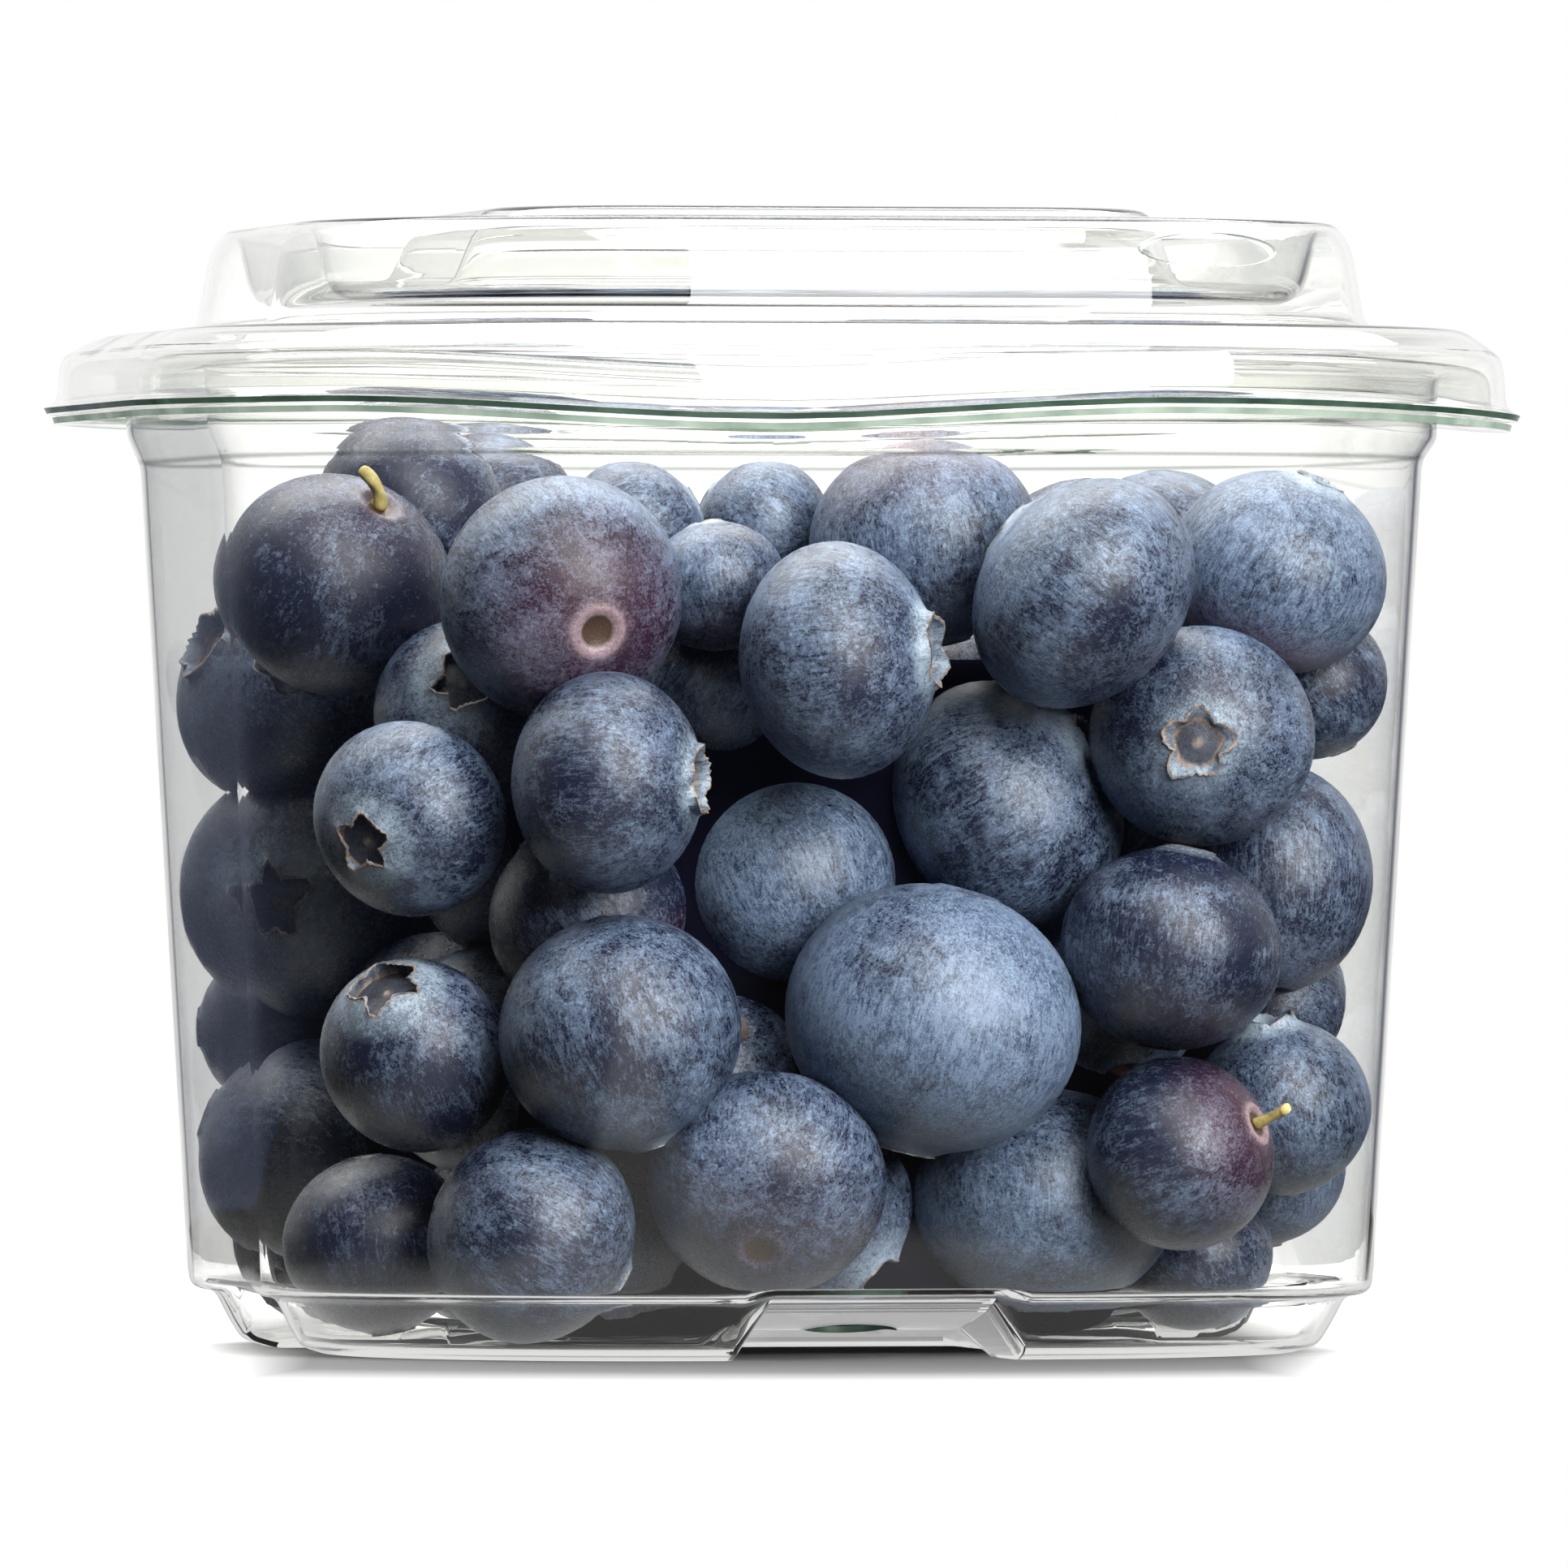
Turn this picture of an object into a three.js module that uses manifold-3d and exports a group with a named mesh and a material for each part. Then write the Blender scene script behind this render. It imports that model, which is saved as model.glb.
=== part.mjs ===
// A clear plastic punnet with its lid pressed on, filled with blueberries.
// Millimetres, +Z up, the front is -Y. The origin is the middle of the base, on the table.
import * as THREE from "three";
import { mergeVertices } from "three/addons/utils/BufferGeometryUtils.js";
import Module from "manifold-3d";

const wasm = await Module();
wasm.setup();

// ---- Sheet and corners ----
const SHEET = 0.5; // thickness of the plastic
const GAP = 0.3; // clearance between pieces that touch
const BEND = 0.6; // how far a tight bend of the sheet cuts its corner
const DOME_BEND = 1; // the same for the softer bends of the dome
const INNER_CORNER = 1.4; // corner radius of the innermost ring of a sheet
const FLAT_FOOT = 12.6; // half the straight run of a side, at the foot
const FLAT_LEDGE = 14.4; // the same at the ledge above the foot, and on the lid's dome
const FLAT_RIM = 16.4; // the same at the rim
const CORNER_STEPS = 6;

// ---- Tub: half widths and heights ----
const PANEL_HALF = 25; // the raised middle of the base
const PANEL_SLOPE = 2.5;
const PANEL_LIFT = 0.5;
const FOOT_HALF = 37.2; // the flat that the pack stands on
const FOOT_BEND = 2;
const FOOT_EDGE_HALF = 40.1;
const FOOT_TOP_HALF = 41.2;
const LEDGE_HALF = 43;
const LEDGE_HEIGHT = 4.5;
const WALL_TOP_HALF = 46.4;
const WALL_TOP = 68.1;
const NECK_HEIGHT = 70.3; // the wall is bulged out from its top to here
const RIM_WALL_HALF = 47.6;
const RIM_HEIGHT = 75.4;
const TUB_SKIRT_HALF = 51.1;
const TUB_FLANGE_HALF = 53.1;
const TUB_FLANGE_HEIGHT = 71.1;

// ---- Lid: half widths and heights ----
const LID_FLANGE_HALF = 53.9;
const LID_FLANGE_HEIGHT = 72.3;
const LID_SKIRT_HALF = 52.7;
const LID_SKIRT_TOP = 76.4;
const SHOULDER_HALF = 50;
const SHOULDER_HEIGHT = 78.2;
const DOME_FOOT_HALF = 42.4;
const RIDGE_HALF = 39.4;
const RIDGE_HEIGHT = 86.5;
const TROUGH_HALF = 36.4;
const TROUGH_HEIGHT = 80.7;
const BLOCK_FOOT_HALF = 29.2;
const BLOCK_TOP_HALF = 25.4;
const BLOCK_HEIGHT = 87.5;
const LID_STEPS = [-5, 5]; // places of the extra points along each straight side

// ---- The rim bends gently up and down ----
const WAVE_HEIGHT = 0.6;
const WAVE_COUNT = 6; // crests round the rim
const WAVE_TURN = THREE.MathUtils.degToRad(20); // the first crest, from the front towards +X
const WAVE_LOW = 64; // the bending starts here and is full at the next height
const WAVE_FULL = 70;
const WAVE_FADE = 2; // it fades out over the top of the lid's skirt

// ---- Vents ----
const SCOOP_ROOF = 8.6; // half width of the vent scoop's roof, at the outside
const SCOOP_BASE = 11; // half width where it meets the table
const SCOOP_HEIGHT = 3.7;
const SCOOP_INNER = 16; // distance from the middle where the scoop dies out
const TUB_STEPS = [-SCOOP_BASE, -SCOOP_ROOF, SCOOP_ROOF, SCOOP_BASE];
const VENT_RADIUS = 3.75;
const VENT_DISTANCE = 27; // from the middle of the base
const SLOT_LENGTH = 13; // vent slot in the dome, at the front right corner
const SLOT_WIDTH = 2.6;
const SLOT_DEPTH = 3;
const SLOT_HEIGHT = 83.9;
const SLOT_ACROSS = 26;
const HOLE_SIDES = 20;

// ---- Blueberries ----
// The front row, as seen by someone EYE_DISTANCE away whose line of sight meets the front at an
// angle with sine VIEW_SIDE. Each is how far right of the middle, how high and how wide. The
// nearest come first: a later one moves back until it is clear.
const EYE_DISTANCE = 1800;
const EYE_HEIGHT = 43.5;
const VIEW_SIDE = 0.2;
const VIEW_FRONT = Math.sqrt(1 - VIEW_SIDE * VIEW_SIDE);
const FRONT_ROW = [
  [12.2, 25.4, 22.2],
  [-13.1, 43.6, 16.2],
  [4.8, 52.9, 16.9],
  [23.6, 58.2, 17.6],
  [-28.3, 40.8, 14.6],
  [-12, 24.4, 18.6],
  [-34.1, 58.7, 17.8],
  [-16.7, 57.9, 18.2],
  [32.7, 47.3, 17],
  [17.7, 42, 18.8],
  [38.6, 59.8, 16.5],
  [-18.9, 8.7, 16.6],
  [-0.9, 10.9, 17.6],
  [-27.8, 22.5, 15.4],
  [31.1, 15.1, 14.8],
  [30.5, 30.8, 16.6],
  [-30.7, 8.1, 14.2],
  [20.2, 8.9, 19.8],
  [0.8, 36, 17.4],
  [11.4, 62.3, 17.2],
  [-38.9, 51.2, 16.8],
  [-37.8, 35, 17],
  [-37, 15.4, 16.5],
  [39.2, 18.6, 13.8],
  [38.6, 36.2, 17],
  [-4.7, 58.7, 10.6],
  [-5.4, 50.1, 13],
  [-10.9, 62.6, 11.4],
  [-1.1, 63, 10.8],
  [-28.3, 64.4, 15],
  [42.4, 51.1, 12],
  [32.4, 6.6, 11.6],
  [38.2, 14.2, 13.2],
  [-41.4, 24.8, 12],
  [-23.6, 48.9, 14.6],
  [-14.5, 33.4, 15.6],
];
const NEAREST = 60; // a berry is tried from here, nearer the eye than the middle, to FARTHEST
const FARTHEST = -30;
const NEAR_STEP = 0.25;
const PULL_STEPS = 12; // one that fits nowhere is pulled towards the middle, a step at a time
const PULL_STEP = 0.01;

const FILL_RADIUS_SMALL = 6.7; // the other berries
const FILL_RADIUS_RANGE = 2.6;
const FILL_STEP = 14.6; // spacing of their starting places
const FILL_REACH = 3; // steps from the middle
const FILL_LOW = 8.3;
const FILL_LAYER = 12;
const FILL_TOP = 63;
const FILL_JITTER = 7;
const FILL_SEED = 20;
const DRAW_FACTOR = 16807; // of the random draws
const DRAW_RANGE = 2147483647;
const SETTLE_ROUNDS = 240;
const SETTLE_DROP = 0.12; // how far a berry sinks in one round
const BERRY_PRESS = 0.965; // ripe berries flatten a little where they touch
const FRONT_PRESS = 0.93; // and more where they crowd against the front wall
const START_PRESS = 0.7;
const HIDE_SHARE = 0.85; // how close two berries must look for the nearer to hide the other
const CLEAR_STEP = 0.5; // how far a berry that hides the front row moves back in one round
const TINY = 1e-9;

const BERRY_FLAT = 15; // half the straight run of the space the berries lie in
const FOOT_NARROW = 1.6; // that space narrows by this much over the foot
const FOOT_RISE = 9;
const SHOWN_DEPTH = 4; // how deep behind the wall a berry may start and still show
const SHOWN_CORE = 2; // how far it must pass the core's top or base to show there
const CORE_INSET = 8; // from the wall to the solid middle of the heap
const CORE_LOW = 8;
const CORE_HIGH = 57;
const FRONT_DETAIL = 1; // the front row is a little rounder than the rest
const BACK_SIDES = 7;
const BACK_RINGS = 5;
const BALL_VOLUME = (4 / 3) * Math.PI; // of a ball whose radius is 1

// ---- Stations: half width, half straight run, height ----
const station = (half, flat, height) => ({ half, flat, height });

function mix(a, b, share) {
  return a + (b - a) * share;
}

function share(value, low, high) {
  return Math.min(Math.max((value - low) / (high - low), 0), 1);
}

// The outside of the tub, from the middle of its base out and up the wall.
function wallStations() {
  return [
    station(FLAT_FOOT + INNER_CORNER, FLAT_FOOT, PANEL_LIFT),
    station(PANEL_HALF, FLAT_FOOT, PANEL_LIFT),
    station(PANEL_HALF + PANEL_SLOPE, FLAT_FOOT, 0),
    station(FOOT_HALF, FLAT_FOOT, 0),
    station(FOOT_HALF + FOOT_BEND, FLAT_FOOT, BEND),
    station(FOOT_EDGE_HALF, FLAT_FOOT, FOOT_BEND),
    station(FOOT_TOP_HALF, FLAT_FOOT + BEND, LEDGE_HEIGHT - BEND / 3),
    station(LEDGE_HALF - BEND, FLAT_LEDGE, LEDGE_HEIGHT),
    station(LEDGE_HALF, FLAT_LEDGE, LEDGE_HEIGHT + BEND),
    station(WALL_TOP_HALF, FLAT_RIM, WALL_TOP),
    station(RIM_WALL_HALF - BEND / 6, FLAT_RIM, NECK_HEIGHT),
    station(RIM_WALL_HALF, FLAT_RIM, RIM_HEIGHT - BEND),
  ];
}

// The same over the rim and down to the tub's flange.
function rimStations() {
  return [
    station(RIM_WALL_HALF + BEND, FLAT_RIM, RIM_HEIGHT),
    station(TUB_SKIRT_HALF - BEND, FLAT_RIM, RIM_HEIGHT),
    station(TUB_SKIRT_HALF, FLAT_RIM, RIM_HEIGHT - BEND),
    station(TUB_SKIRT_HALF + BEND / 6, FLAT_RIM, TUB_FLANGE_HEIGHT + BEND),
    station(TUB_FLANGE_HALF, FLAT_RIM, TUB_FLANGE_HEIGHT),
  ];
}

// The outside of the lid, from the middle of its raised block out and down to its flange.
function lidStations() {
  return [
    station(FLAT_LEDGE + INNER_CORNER, FLAT_LEDGE, BLOCK_HEIGHT),
    station(BLOCK_TOP_HALF, FLAT_LEDGE, BLOCK_HEIGHT - BEND / 6),
    station(BLOCK_TOP_HALF + DOME_BEND, FLAT_LEDGE, BLOCK_HEIGHT - DOME_BEND),
    station(BLOCK_FOOT_HALF - DOME_BEND, FLAT_LEDGE, TROUGH_HEIGHT + BEND),
    station(BLOCK_FOOT_HALF, FLAT_LEDGE, TROUGH_HEIGHT),
    station(TROUGH_HALF, FLAT_LEDGE, TROUGH_HEIGHT),
    station(TROUGH_HALF + DOME_BEND, FLAT_LEDGE, TROUGH_HEIGHT + DOME_BEND),
    station(RIDGE_HALF - DOME_BEND, FLAT_LEDGE, RIDGE_HEIGHT - BEND),
    station(RIDGE_HALF + BEND, FLAT_LEDGE, RIDGE_HEIGHT),
    station(DOME_FOOT_HALF - DOME_BEND, FLAT_LEDGE, RIDGE_HEIGHT - 2 * DOME_BEND),
    station(DOME_FOOT_HALF, FLAT_LEDGE, SHOULDER_HEIGHT + BEND),
    station(DOME_FOOT_HALF + DOME_BEND, FLAT_LEDGE, SHOULDER_HEIGHT),
    station(SHOULDER_HALF - DOME_BEND, FLAT_RIM, SHOULDER_HEIGHT),
    station(SHOULDER_HALF, FLAT_RIM, SHOULDER_HEIGHT - BEND / 2),
    station(LID_SKIRT_HALF - 2 * BEND, FLAT_RIM, LID_SKIRT_TOP + BEND),
    station(LID_SKIRT_HALF - BEND / 2, FLAT_RIM, LID_SKIRT_TOP),
    station(LID_SKIRT_HALF, FLAT_RIM, LID_SKIRT_TOP - DOME_BEND),
    station(LID_SKIRT_HALF + BEND / 6, FLAT_RIM, LID_FLANGE_HEIGHT + BEND),
    station(LID_FLANGE_HALF, FLAT_RIM, LID_FLANGE_HEIGHT),
  ];
}

// The same stations moved sideways by a distance, square to the sheet and mitred at its bends.
function offsetStations(stations, distance) {
  const sideOf = (from, to) => {
    const along = new THREE.Vector2(to.half - from.half, to.height - from.height).normalize();
    return new THREE.Vector2(-along.y, along.x);
  };
  return stations.map((here, i) => {
    const before = stations[Math.max(i - 1, 0)];
    const after = stations[Math.min(i + 1, stations.length - 1)];
    const first = before === here ? sideOf(here, after) : sideOf(before, here);
    const second = after === here ? first : sideOf(here, after);
    const mitre = first.clone().add(second).normalize();
    const reach = distance / mitre.dot(first);
    return station(here.half + mitre.x * reach, here.flat, here.height + mitre.y * reach);
  });
}

// ---- Shape functions ----
// Height that the vent scoop in the middle of each side lifts the base by.
function scoopLift(x, y) {
  const out = Math.max(Math.abs(x), Math.abs(y));
  const along = Math.min(Math.abs(x), Math.abs(y));
  const rise = share(out, SCOOP_INNER, FOOT_HALF);
  return SCOOP_HEIGHT * rise * (1 - share(along, SCOOP_ROOF, SCOOP_BASE));
}

function rimWave(x, y) {
  const turn = Math.atan2(x, -y);
  return WAVE_HEIGHT * Math.cos(WAVE_COUNT * (turn - WAVE_TURN));
}

function shapeTub(x, y, z) {
  const scoop = scoopLift(x, y) * (1 - share(z, SHEET, LEDGE_HEIGHT + BEND));
  return z + scoop + rimWave(x, y) * share(z, WAVE_LOW, WAVE_FULL);
}

function shapeLid(x, y, z) {
  return z + rimWave(x, y) * (1 - share(z, LID_SKIRT_TOP - WAVE_FADE, SHOULDER_HEIGHT));
}

// ---- Solids from rings ----
// One ring of points, with steps at the given places along the straight run of each side.
function ringPoints({ half, flat }, sideSteps) {
  const radius = half - flat;
  const quarter = [-flat, ...sideSteps].map((x) => new THREE.Vector2(x, -half));
  for (let i = 0; i < CORNER_STEPS; i += 1) {
    const turn = ((i / CORNER_STEPS) * Math.PI) / 2;
    quarter.push(new THREE.Vector2(flat + radius * Math.sin(turn), -flat - radius * Math.cos(turn)));
  }
  const points = [];
  for (let corner = 0; corner < 4; corner += 1) {
    const turn = (corner * Math.PI) / 2;
    quarter.forEach((point) => points.push(point.clone().rotateAround(new THREE.Vector2(), turn)));
  }
  return points;
}

// A closed body through a run of rings, capped at the first and the last.
function ringSolid(stations, shape, sideSteps) {
  const positions = [];
  const triangles = [];
  const addPoint = (x, y, z) => {
    positions.push(x, y, shape(x, y, z));
    return positions.length / 3 - 1;
  };
  const ringOf = (here) =>
    ringPoints(here, sideSteps).map(({ x, y }) => addPoint(x, y, here.height));
  const rings = stations.map(ringOf);
  for (let i = 0; i + 1 < rings.length; i += 1) {
    rings[i].forEach((a, k) => {
      const next = (k + 1) % rings[i].length;
      const b = rings[i][next];
      const c = rings[i + 1][next];
      const d = rings[i + 1][k];
      triangles.push(a, b, c, a, c, d);
    });
  }
  const first = addPoint(0, 0, stations[0].height);
  const last = addPoint(0, 0, stations[stations.length - 1].height);
  rings[0].forEach((a, k) => triangles.push(first, rings[0][(k + 1) % rings[0].length], a));
  const end = rings[rings.length - 1];
  end.forEach((a, k) => triangles.push(last, a, end[(k + 1) % end.length]));
  return outwardSolid(positions, triangles);
}

function outwardSolid(positions, triangles) {
  const corner = (k) => new THREE.Vector3().fromArray(positions, 3 * triangles[k]);
  let volume = 0;
  for (let k = 0; k < triangles.length; k += 3) {
    volume += corner(k).dot(corner(k + 1).cross(corner(k + 2)));
  }
  const facing = volume > 0 ? triangles : triangles.slice().reverse();
  return solidFrom(positions, facing);
}

function solidFrom(positions, triangles) {
  const vertProperties = new Float32Array(positions);
  const triVerts = new Uint32Array(triangles);
  return new wasm.Manifold(new wasm.Mesh({ numProp: 3, vertProperties, triVerts }));
}

function solidFromGeometry(geometry) {
  geometry.deleteAttribute("normal");
  geometry.deleteAttribute("uv");
  const merged = mergeVertices(geometry);
  return solidFrom(merged.attributes.position.array, merged.index.array);
}

function geometryOf(solid) {
  const mesh = solid.getMesh();
  const geometry = new THREE.BufferGeometry();
  geometry.setAttribute("position", new THREE.BufferAttribute(mesh.vertProperties, 3));
  geometry.setIndex(new THREE.BufferAttribute(mesh.triVerts, 1));
  geometry.computeVertexNormals();
  return geometry;
}

// ---- Tub ----
function ventCutter() {
  const cutter = new THREE.CylinderGeometry(VENT_RADIUS, VENT_RADIUS, 3 * LEDGE_HEIGHT, HOLE_SIDES);
  return cutter.rotateX(Math.PI / 2);
}

function tub() {
  const outside = [...wallStations(), ...rimStations()];
  const inside = offsetStations(outside, SHEET);
  let solid = ringSolid([...outside, ...inside.reverse()], shapeTub, TUB_STEPS);
  for (let side = 0; side < 4; side += 1) {
    const cutter = ventCutter().translate(0, -VENT_DISTANCE, 0).rotateZ((side * Math.PI) / 2);
    solid = solid.subtract(solidFromGeometry(cutter));
  }
  return solid;
}

// ---- Lid ----
function slotCutter() {
  const round = SLOT_WIDTH / 2;
  const cutter = new THREE.CylinderGeometry(round, round, SLOT_DEPTH, HOLE_SIDES);
  cutter.scale(SLOT_LENGTH / SLOT_WIDTH, 1, 1);
  const cornerRadius = DOME_FOOT_HALF - FLAT_LEDGE - BEND;
  const turn = Math.asin((SLOT_ACROSS - FLAT_LEDGE) / cornerRadius);
  cutter.translate(0, -cornerRadius, 0).rotateZ(turn);
  return cutter.translate(FLAT_LEDGE, -FLAT_LEDGE, SLOT_HEIGHT);
}

function lid() {
  const outside = lidStations();
  const inside = offsetStations(outside, -SHEET);
  const solid = ringSolid([...outside, ...inside.reverse()], shapeLid, LID_STEPS);
  return solid.subtract(solidFromGeometry(slotCutter()));
}

// ---- Where the blueberries lie ----
function spaceHalf(z) {
  const wall = mix(LEDGE_HALF, WALL_TOP_HALF, share(z, LEDGE_HEIGHT, WALL_TOP));
  const foot = 1 - share(z, LEDGE_HEIGHT, LEDGE_HEIGHT + FOOT_RISE);
  return wall - SHEET - GAP - FOOT_NARROW * foot;
}

// How far a berry's middle lies outside the space it may lie in, over its radius.
function wallExcess(x, y, z, radius) {
  const a = Math.max(Math.abs(x) - BERRY_FLAT, 0);
  const b = Math.max(Math.abs(y) - BERRY_FLAT, 0);
  return Math.sqrt(a * a + b * b) - (spaceHalf(z) - radius - BERRY_FLAT);
}

function floorHeight(x, y) {
  return SHEET + GAP + PANEL_LIFT + scoopLift(x, y);
}

function overlaps(berry, others, press) {
  return others.some((other) => {
    const dx = berry.x - other.x;
    const dy = berry.y - other.y;
    const dz = berry.z - other.z;
    const reach = press * (berry.radius + other.radius);
    return dx * dx + dy * dy + dz * dz < reach * reach;
  });
}

// A berry of the front row, as near the eye as the wall and the berries before it allow.
function placeSeen([across, up, width], placed) {
  for (let pull = 0; pull < PULL_STEPS; pull += 1) {
    const beside = across * (1 - PULL_STEP * pull);
    for (let near = NEAREST; near > FARTHEST; near -= NEAR_STEP) {
      const scale = 1 - near / EYE_DISTANCE;
      const radius = (width / 2) * scale;
      const x = beside * scale * VIEW_FRONT - near * VIEW_SIDE;
      const y = -beside * scale * VIEW_SIDE - near * VIEW_FRONT;
      const z = EYE_HEIGHT + (up - EYE_HEIGHT) * scale;
      const berry = { x, y, z, radius, fixed: true };
      if (wallExcess(x, y, z, radius) <= 0 && !overlaps(berry, placed, FRONT_PRESS)) {
        berry.z = Math.max(z, floorHeight(x, y) + radius);
        return berry;
      }
    }
  }
  return null;
}

function frontRow() {
  const placed = [];
  FRONT_ROW.forEach((seen) => {
    const berry = placeSeen(seen, placed);
    if (berry) {
      placed.push(berry);
    }
  });
  return placed;
}

function randomDraws(seed) {
  let state = seed;
  return () => {
    state = (state * DRAW_FACTOR) % DRAW_RANGE;
    return state / DRAW_RANGE;
  };
}

// Whether a berry stands between the eye and one of the front row.
function hidesFront(berry, placed) {
  return placed.some((front) => {
    const dx = berry.x - front.x;
    const dy = berry.y - front.y;
    const dz = berry.z - front.z;
    const beside = dx * VIEW_FRONT - dy * VIEW_SIDE;
    const reach = HIDE_SHARE * (berry.radius + front.radius);
    const nearer = -dx * VIEW_SIDE - dy * VIEW_FRONT > 0;
    return nearer && beside * beside + dz * dz < reach * reach;
  });
}

function startingBerry(x, y, z, draw) {
  const radius = FILL_RADIUS_SMALL + FILL_RADIUS_RANGE * draw();
  const jitter = () => FILL_JITTER * (draw() - 0.5);
  return { x: x + jitter(), y: y + jitter(), z: z + jitter(), radius, fixed: false };
}

// Starting places for the rest of the berries, layer by layer over a square grid.
function fillStarts(placed) {
  const draw = randomDraws(FILL_SEED);
  const starts = [];
  let shift = 0;
  for (let z = FILL_LOW; z < FILL_TOP; z += FILL_LAYER) {
    const edge = FILL_REACH * FILL_STEP;
    for (let x = shift - edge; x < edge; x += FILL_STEP) {
      for (let y = shift - edge; y < edge; y += FILL_STEP) {
        const berry = startingBerry(x, y, z, draw);
        const inside = wallExcess(berry.x, berry.y, berry.z, berry.radius) <= berry.radius / 2;
        if (inside && !overlaps(berry, placed, START_PRESS) && !hidesFront(berry, placed)) {
          starts.push(berry);
        }
      }
    }
    shift = FILL_STEP / 2 - shift;
  }
  return starts;
}

function pushApart(a, b) {
  const dx = b.x - a.x;
  const dy = b.y - a.y;
  const dz = b.z - a.z;
  const reach = BERRY_PRESS * (a.radius + b.radius);
  const squared = dx * dx + dy * dy + dz * dz;
  if (squared >= reach * reach) {
    return;
  }
  const distance = Math.sqrt(squared) + TINY;
  const push = (reach - distance) / distance;
  const shareB = a.fixed ? 1 : 0.5;
  const shareA = 1 - shareB;
  a.x -= dx * push * shareA;
  a.y -= dy * push * shareA;
  a.z -= dz * push * shareA;
  b.x += dx * push * shareB;
  b.y += dy * push * shareB;
  b.z += dz * push * shareB;
}

function keepInside(berry) {
  const excess = wallExcess(berry.x, berry.y, berry.z, berry.radius);
  if (excess > 0) {
    const a = Math.max(Math.abs(berry.x) - BERRY_FLAT, 0);
    const b = Math.max(Math.abs(berry.y) - BERRY_FLAT, 0);
    const length = Math.sqrt(a * a + b * b);
    berry.x -= Math.sign(berry.x) * (a / length) * excess;
    berry.y -= Math.sign(berry.y) * (b / length) * excess;
  }
  berry.z = Math.max(berry.z, floorHeight(berry.x, berry.y) + berry.radius);
}

// The front row stays where it is seen, and the rest settle round it and one another.
function packBerries() {
  const placed = frontRow();
  const loose = fillStarts(placed);
  const all = [...placed, ...loose];
  for (let round = 0; round < SETTLE_ROUNDS; round += 1) {
    loose.forEach((berry) => {
      berry.z -= SETTLE_DROP;
      if (hidesFront(berry, placed)) {
        berry.x += CLEAR_STEP * VIEW_SIDE;
        berry.y += CLEAR_STEP * VIEW_FRONT;
      }
    });
    for (let i = 0; i < all.length; i += 1) {
      for (let j = Math.max(i + 1, placed.length); j < all.length; j += 1) {
        pushApart(all[i], all[j]);
      }
    }
    loose.forEach(keepInside);
  }
  return [...placed, ...loose.filter((berry) => !hidesFront(berry, placed))];
}

// Whether a berry can be seen from outside: it lies near the wall, the base or the top.
function shows({ x, y, z, radius, fixed }) {
  const nearWall = wallExcess(x, y, z, radius) > -SHOWN_DEPTH;
  const nearBase = z - radius < CORE_LOW - SHOWN_CORE;
  const nearTop = z + radius > CORE_HIGH + SHOWN_CORE;
  return fixed || nearWall || nearBase || nearTop;
}

// ---- The heap ----
// A berry with few sides is drawn so much larger that it fills as much space as a round one, and
// is moved in from the wall by as much.
function berrySolid({ x, y, z, radius, fixed }) {
  const round = new THREE.IcosahedronGeometry(radius, FRONT_DETAIL);
  const plain = new THREE.SphereGeometry(radius, BACK_SIDES, BACK_RINGS).rotateX(x).rotateY(y);
  const faceted = solidFromGeometry(fixed ? round : plain);
  const growth = Math.cbrt((BALL_VOLUME * radius ** 3) / faceted.volume());
  const place = { x, y, z, radius: radius * growth };
  keepInside(place);
  return faceted.scale(growth).translate(place.x, place.y, place.z);
}

// The space inside the tub, clear of its sheet all round.
function heapSpace() {
  const inside = offsetStations(wallStations(), SHEET + GAP).reverse();
  return ringSolid(inside, (x, y, z) => shapeTub(x, y, z - GAP) + GAP, TUB_STEPS);
}

function heapCore() {
  const lowHalf = spaceHalf(CORE_LOW) - CORE_INSET;
  const highHalf = spaceHalf(CORE_HIGH) - CORE_INSET;
  const stations = [
    station(lowHalf, BERRY_FLAT, CORE_LOW),
    station(highHalf, BERRY_FLAT, CORE_HIGH),
  ];
  return ringSolid(stations, (x, y, z) => z, LID_STEPS);
}

function fillHollows(solid) {
  const size = 4 * WALL_TOP;
  const block = solidFromGeometry(new THREE.BoxGeometry(size, size, size));
  const spaces = block.subtract(solid).decompose();
  spaces.sort((a, b) => b.volume() - a.volume());
  return spaces.slice(1).reduce((sum, hollow) => sum.add(hollow), solid);
}

function berryHeap() {
  let heap = heapCore();
  packBerries().filter(shows).forEach((berry) => {
    heap = heap.add(berrySolid(berry));
  });
  heap = fillHollows(heap.intersect(heapSpace()));
  const pieces = heap.decompose();
  pieces.sort((a, b) => b.volume() - a.volume());
  return pieces[0];
}

// ---- Finishes and the model ----
const clearPlastic = () =>
  new THREE.MeshStandardMaterial({
    color: 0xe4ebe6,
    roughness: 0.06,
    metalness: 0,
    transparent: true,
    opacity: 0.25,
  });

const berrySkin = () =>
  new THREE.MeshStandardMaterial({ color: 0x2c3650, roughness: 0.5, metalness: 0 });

function node(name, solid, material) {
  const mesh = new THREE.Mesh(geometryOf(solid), material);
  mesh.name = name;
  return mesh;
}

const punnet = new THREE.Group();
punnet.add(node("tub", tub(), clearPlastic()));
punnet.add(node("lid", lid(), clearPlastic()));
punnet.add(node("berries", berryHeap(), berrySkin()));

export default punnet;
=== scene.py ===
import math
import random

import bmesh
import bpy
from mathutils import Matrix, Vector


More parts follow.
